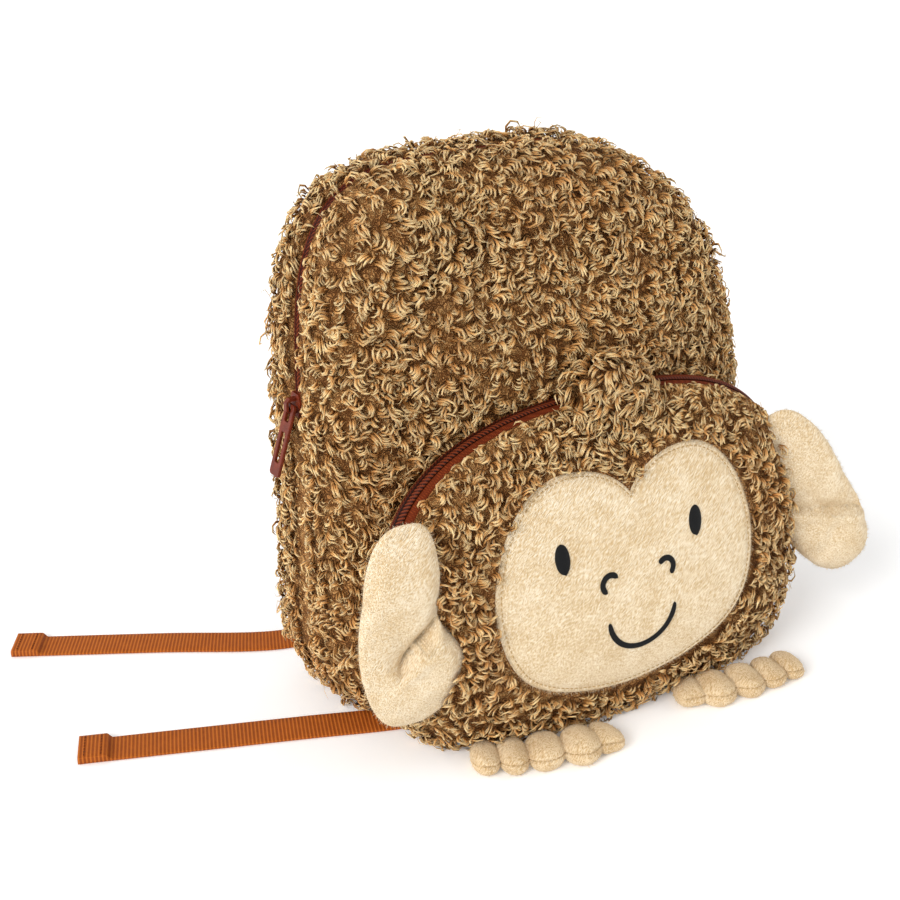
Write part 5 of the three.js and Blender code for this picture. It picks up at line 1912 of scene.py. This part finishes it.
@dataclass
class MainBag:
    """The main compartment: pile panels and gussets, a plain back, and its zip."""

    seam: float = 45
    zip_low: float = -8.4
    zip_high: float = 0.4
    zip_shows: tuple = (127, 133)
    zip_open: tuple = (-5.8, -2.0)
    zip_slope: float = 9
    least: float = 0.3
    hidden: float = 0.9
    near_front: float = 12

    def behind_pocket(self, roots: Array) -> Array:
        """Which roots the pocket hides."""
        x, y, z = roots.T
        return (POCKET.polar(x, z)[1] < self.hidden) & (y < BAG.face(x, z) + self.near_front)

    def by_zip(self, roots: Array) -> Array:
        """How tall the pile is: low in front of the zip's left run, where the zip shows."""
        around, over = BAG.angles(roots)
        shows = smoothstep(around, *self.zip_shows)
        beside = 1 - smoothstep(over, self.zip_high, self.zip_high + self.zip_slope)
        return np.maximum(1 - shows * beside * (over > self.zip_low), self.least)

    def on_zip(self, path: Array) -> Array:
        """Which ribbons would lie over the zip's left run."""
        around, over = BAG.angles(path)
        low, high = self.zip_open
        return np.any((around > self.zip_shows[1]) & (over > low) & (over < high), axis=1)

    def build(self, pile: Pile) -> None:
        """Adds the walls, the back panel and the zip.

        Args:
            pile: grows the locks.
        """
        start, end = MAIN_ZIP.around
        pile.blocks.append(self.on_zip)
        walls = (
            PileWall("front_panel", BAG_SKIN, (0, 360), (self.seam, 90), (96, 14), True),
            PileWall("zip_gusset_front", BAG_SKIN, (start, end), (self.zip_high, self.seam), (96, 10)),
            PileWall("zip_gusset_back", BAG_SKIN, (start, end), (-self.seam, self.zip_low), (96, 8)),
            PileWall("base_gusset", BAG_SKIN, (end, 360 + start), (-self.seam, self.seam), (110, 16)),
        )
        for wall in walls:
            wall.build(pile, self.behind_pocket, self.by_zip)
        back = shell(BAG.skin, (0, 360), (-self.seam, -90), (120, 16), 0.0, 2.5, True)
        add_piece("back_panel_cloth", back, Finish.CLOTH, "back_panel")
        MAIN_ZIP.build()
        dress("main_zip_slider", Finish.ENAMEL)
        ZipPull().build()


@dataclass
class FrontPocket:
    """The pocket that is the monkey's head: pile walls, its zip, and the tuft over it."""

    zip_near: tuple = (0.93, 1.14)
    zip_slopes: tuple = (8, 26)
    least: tuple = (0.3, 0.1)
    face_depth: float = -70
    tuft_place: tuple = (4, -70, 173)
    tuft_size: tuple = (23, 16, 18)
    tuft_locks: int = 190
    tuft_span: float = 1.25
    tuft_fall: tuple = (0.0, -0.25, -0.4)

    def on_zip(self, path: Array) -> Array:
        """Which ribbons would lie over the zip."""
        around, over, out = POCKET.angles(path)
        (start, end), (low, high) = POCKET_ZIP.around, POCKET_ZIP.over
        across = (over > low + 1) & (over < high - 1) & (out > self.zip_near[0]) & (out < self.zip_near[1])
        return np.any(across & (around > start) & (around < end), axis=1)

    def by_zip(self, roots: Array) -> Array:
        """How tall the pile is: low in front of the zip, so that the zip shows, and lower on the right."""
        around, over, _ = POCKET.angles(roots)
        (start, end), (_, high) = POCKET_ZIP.around, POCKET_ZIP.over
        beside = (around > start) & (around < end) & (over > 0)
        right = (around < 90).astype(int)
        rise = smoothstep(over, high, high + np.array(self.zip_slopes)[right])
        least = np.array(self.least)[right]
        return np.where(beside, least + (1 - least) * rise, 1.0)

    def build(self, pile: Pile, face: FacePatch) -> None:
        """Adds the walls and the zip.

        Args:
            pile: grows the locks.
            face: the velvet, which the locks stay off.
        """
        (start, end), (low, high) = POCKET_ZIP.around, POCKET_ZIP.over

        def under_face(points: Array, margin: float) -> Array:
            """Which places at the front lie inside the velvet's outline by more than a margin."""
            return face.covers(points[..., 0], points[..., 2], margin) & (points[..., 1] < self.face_depth)

        def on_face(path: Array) -> Array:
            """Which ribbons would lie on the velvet."""
            return np.any(under_face(path, 0.6), axis=1)

        def bare(roots: Array) -> Array:
            """Which roots the velvet hides."""
            return under_face(roots, -0.5)

        pile.blocks += [on_face, self.on_zip]
        for wall in (
            PileWall("pocket_front", POCKET_SKIN, (0, 360), (high, 90), (110, 18), True, 2.0),
            PileWall("pocket_gusset_top", POCKET_SKIN, (start, end), (POCKET.foot, low), (90, 4)),
            PileWall("pocket_gusset_base", POCKET_SKIN, (end, 360 + start), (POCKET.foot, high), (96, 8)),
        ):
            wall.build(pile, bare, self.by_zip)
        POCKET_ZIP.build()

    def build_tuft(self, pile: Pile) -> None:
        """Adds the tuft: long locks that spring from a low mound and fall all round it.

        Their roots lie on a golden spiral down the mound, an ellipsoid.

        Args:
            pile: grows the locks.
        """
        golden = np.pi * (3 - np.sqrt(5))
        k = np.arange(self.tuft_locks)
        up = 1 - self.tuft_span * (k + 0.5) / self.tuft_locks
        ring = np.sqrt(np.maximum(1 - up**2, 0))
        normals = np.stack([ring * np.cos(golden * k), ring * np.sin(golden * k), up], -1)
        place, size = np.array(self.tuft_place, float), np.array(self.tuft_size, float)
        roots = place + normals * size
        fall = normals * (1.0, 1.0, 0.0) + np.array(self.tuft_fall)
        normals = unit(normals / size)
        turns = np.linspace(0, 2 * np.pi, 36, endpoint=False)
        tilts = np.linspace(-np.pi / 2, np.pi / 2, 16)[1:-1]
        angle, tilt = np.meshgrid(turns, tilts)
        mound = np.stack([np.cos(tilt) * np.cos(angle), np.cos(tilt) * np.sin(angle), np.sin(tilt)], -1)
        poles = np.array([[0, 0, -1.0], [0, 0, 1.0]])
        ground = capped(place + mound * (size - 1.0), place + poles * (size - 1.0))
        add_piece("hair_tuft_ground", ground, Finish.GROUND, "hair_tuft")
        add_piece("hair_tuft_pile", pile.grow(roots, normals, fall), Finish.PILE, "hair_tuft")


@dataclass
class Studio:
    """The photographer's table: a white sweep, a soft key, a fill, an edge light and the camera."""

    azimuth: float = -33
    elevation: float = 25
    distance: float = 802
    target: tuple = (-20.4, 36.8, 109)
    lens: float = 56
    floor_half: float = 4000
    sky: float = 0.7
    suns: tuple = (
        ("key", (-0.95, -0.35, 0.6), 25, 1.9),
        ("fill", (0.8, -0.3, 0.5), 40, 0.5),
        ("edge", (-0.8, 0.6, 0.4), 40, 0.7),
    )

    def build(self) -> None:
        """Adds the floor, the lights and the camera."""
        corners = np.array([[-1, -1, 0], [1, -1, 0], [1, 1, 0], [-1, 1, 0]]) * self.floor_half * MM
        mesh = bpy.data.meshes.new("paper_sweep")
        mesh.from_pydata(corners.tolist(), [], [(0, 1, 2, 3)])
        mesh.materials.append(Finish.FLOOR.material)
        add_object("paper_sweep", mesh)
        world = bpy.data.worlds.new("studio_white")
        world.use_nodes = True
        background = world.node_tree.nodes["Background"].inputs
        background["Color"].default_value = (1.0, 1.0, 1.0, 1.0)
        background["Strength"].default_value = self.sky
        bpy.context.scene.world = world
        for sun in self.suns:
            self.add_sun(*sun)
        bpy.context.scene.view_settings.view_transform = "Standard"
        a, e = np.radians(self.azimuth), np.radians(self.elevation)
        back = np.array([np.sin(a) * np.cos(e), -np.cos(a) * np.cos(e), np.sin(e)])
        data = bpy.data.cameras.new("photo_camera")
        data.lens = self.lens
        data.sensor_width = 36
        data.clip_start = 0.01
        camera = add_object("photo_camera", data)
        camera.location = Vector((np.array(self.target) + self.distance * back) * MM)
        camera.rotation_euler = Vector(-back).to_track_quat("-Z", "Y").to_euler()
        bpy.context.scene.camera = camera

    def add_sun(self, name: str, toward: tuple, width: float, power: float) -> None:
        """Adds a soft lamp that is far away in a direction and so many degrees wide."""
        data = bpy.data.lights.new(name, "SUN")
        data.angle = np.radians(width)
        data.energy = power
        add_object(name, data).rotation_euler = Vector(toward).to_track_quat("Z", "Y").to_euler()


def main() -> None:
    """Builds the backpack's pieces in order."""
    logging.basicConfig(level=logging.INFO, format="%(message)s")
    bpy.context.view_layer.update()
    Studio().build()
    face = FacePatch()
    solid = [*(ear.holds for ear in EARS), *(foot.holds for foot in FEET), ZipPull().holds]
    rng = np.random.default_rng(SEED)
    MainBag().build(Pile(WALL_STYLE, rng, list(solid)))
    pocket = FrontPocket()
    pocket.build(Pile(WALL_STYLE, rng, list(solid)), face)
    pocket.build_tuft(Pile(TUFT_STYLE, rng))
    nap = Pile(NAP_STYLE, rng)
    face.build(nap)
    for limb in (*EARS, *FEET):
        limb.build(nap)
    Straps().build()


if __name__ == "__main__":
    main()
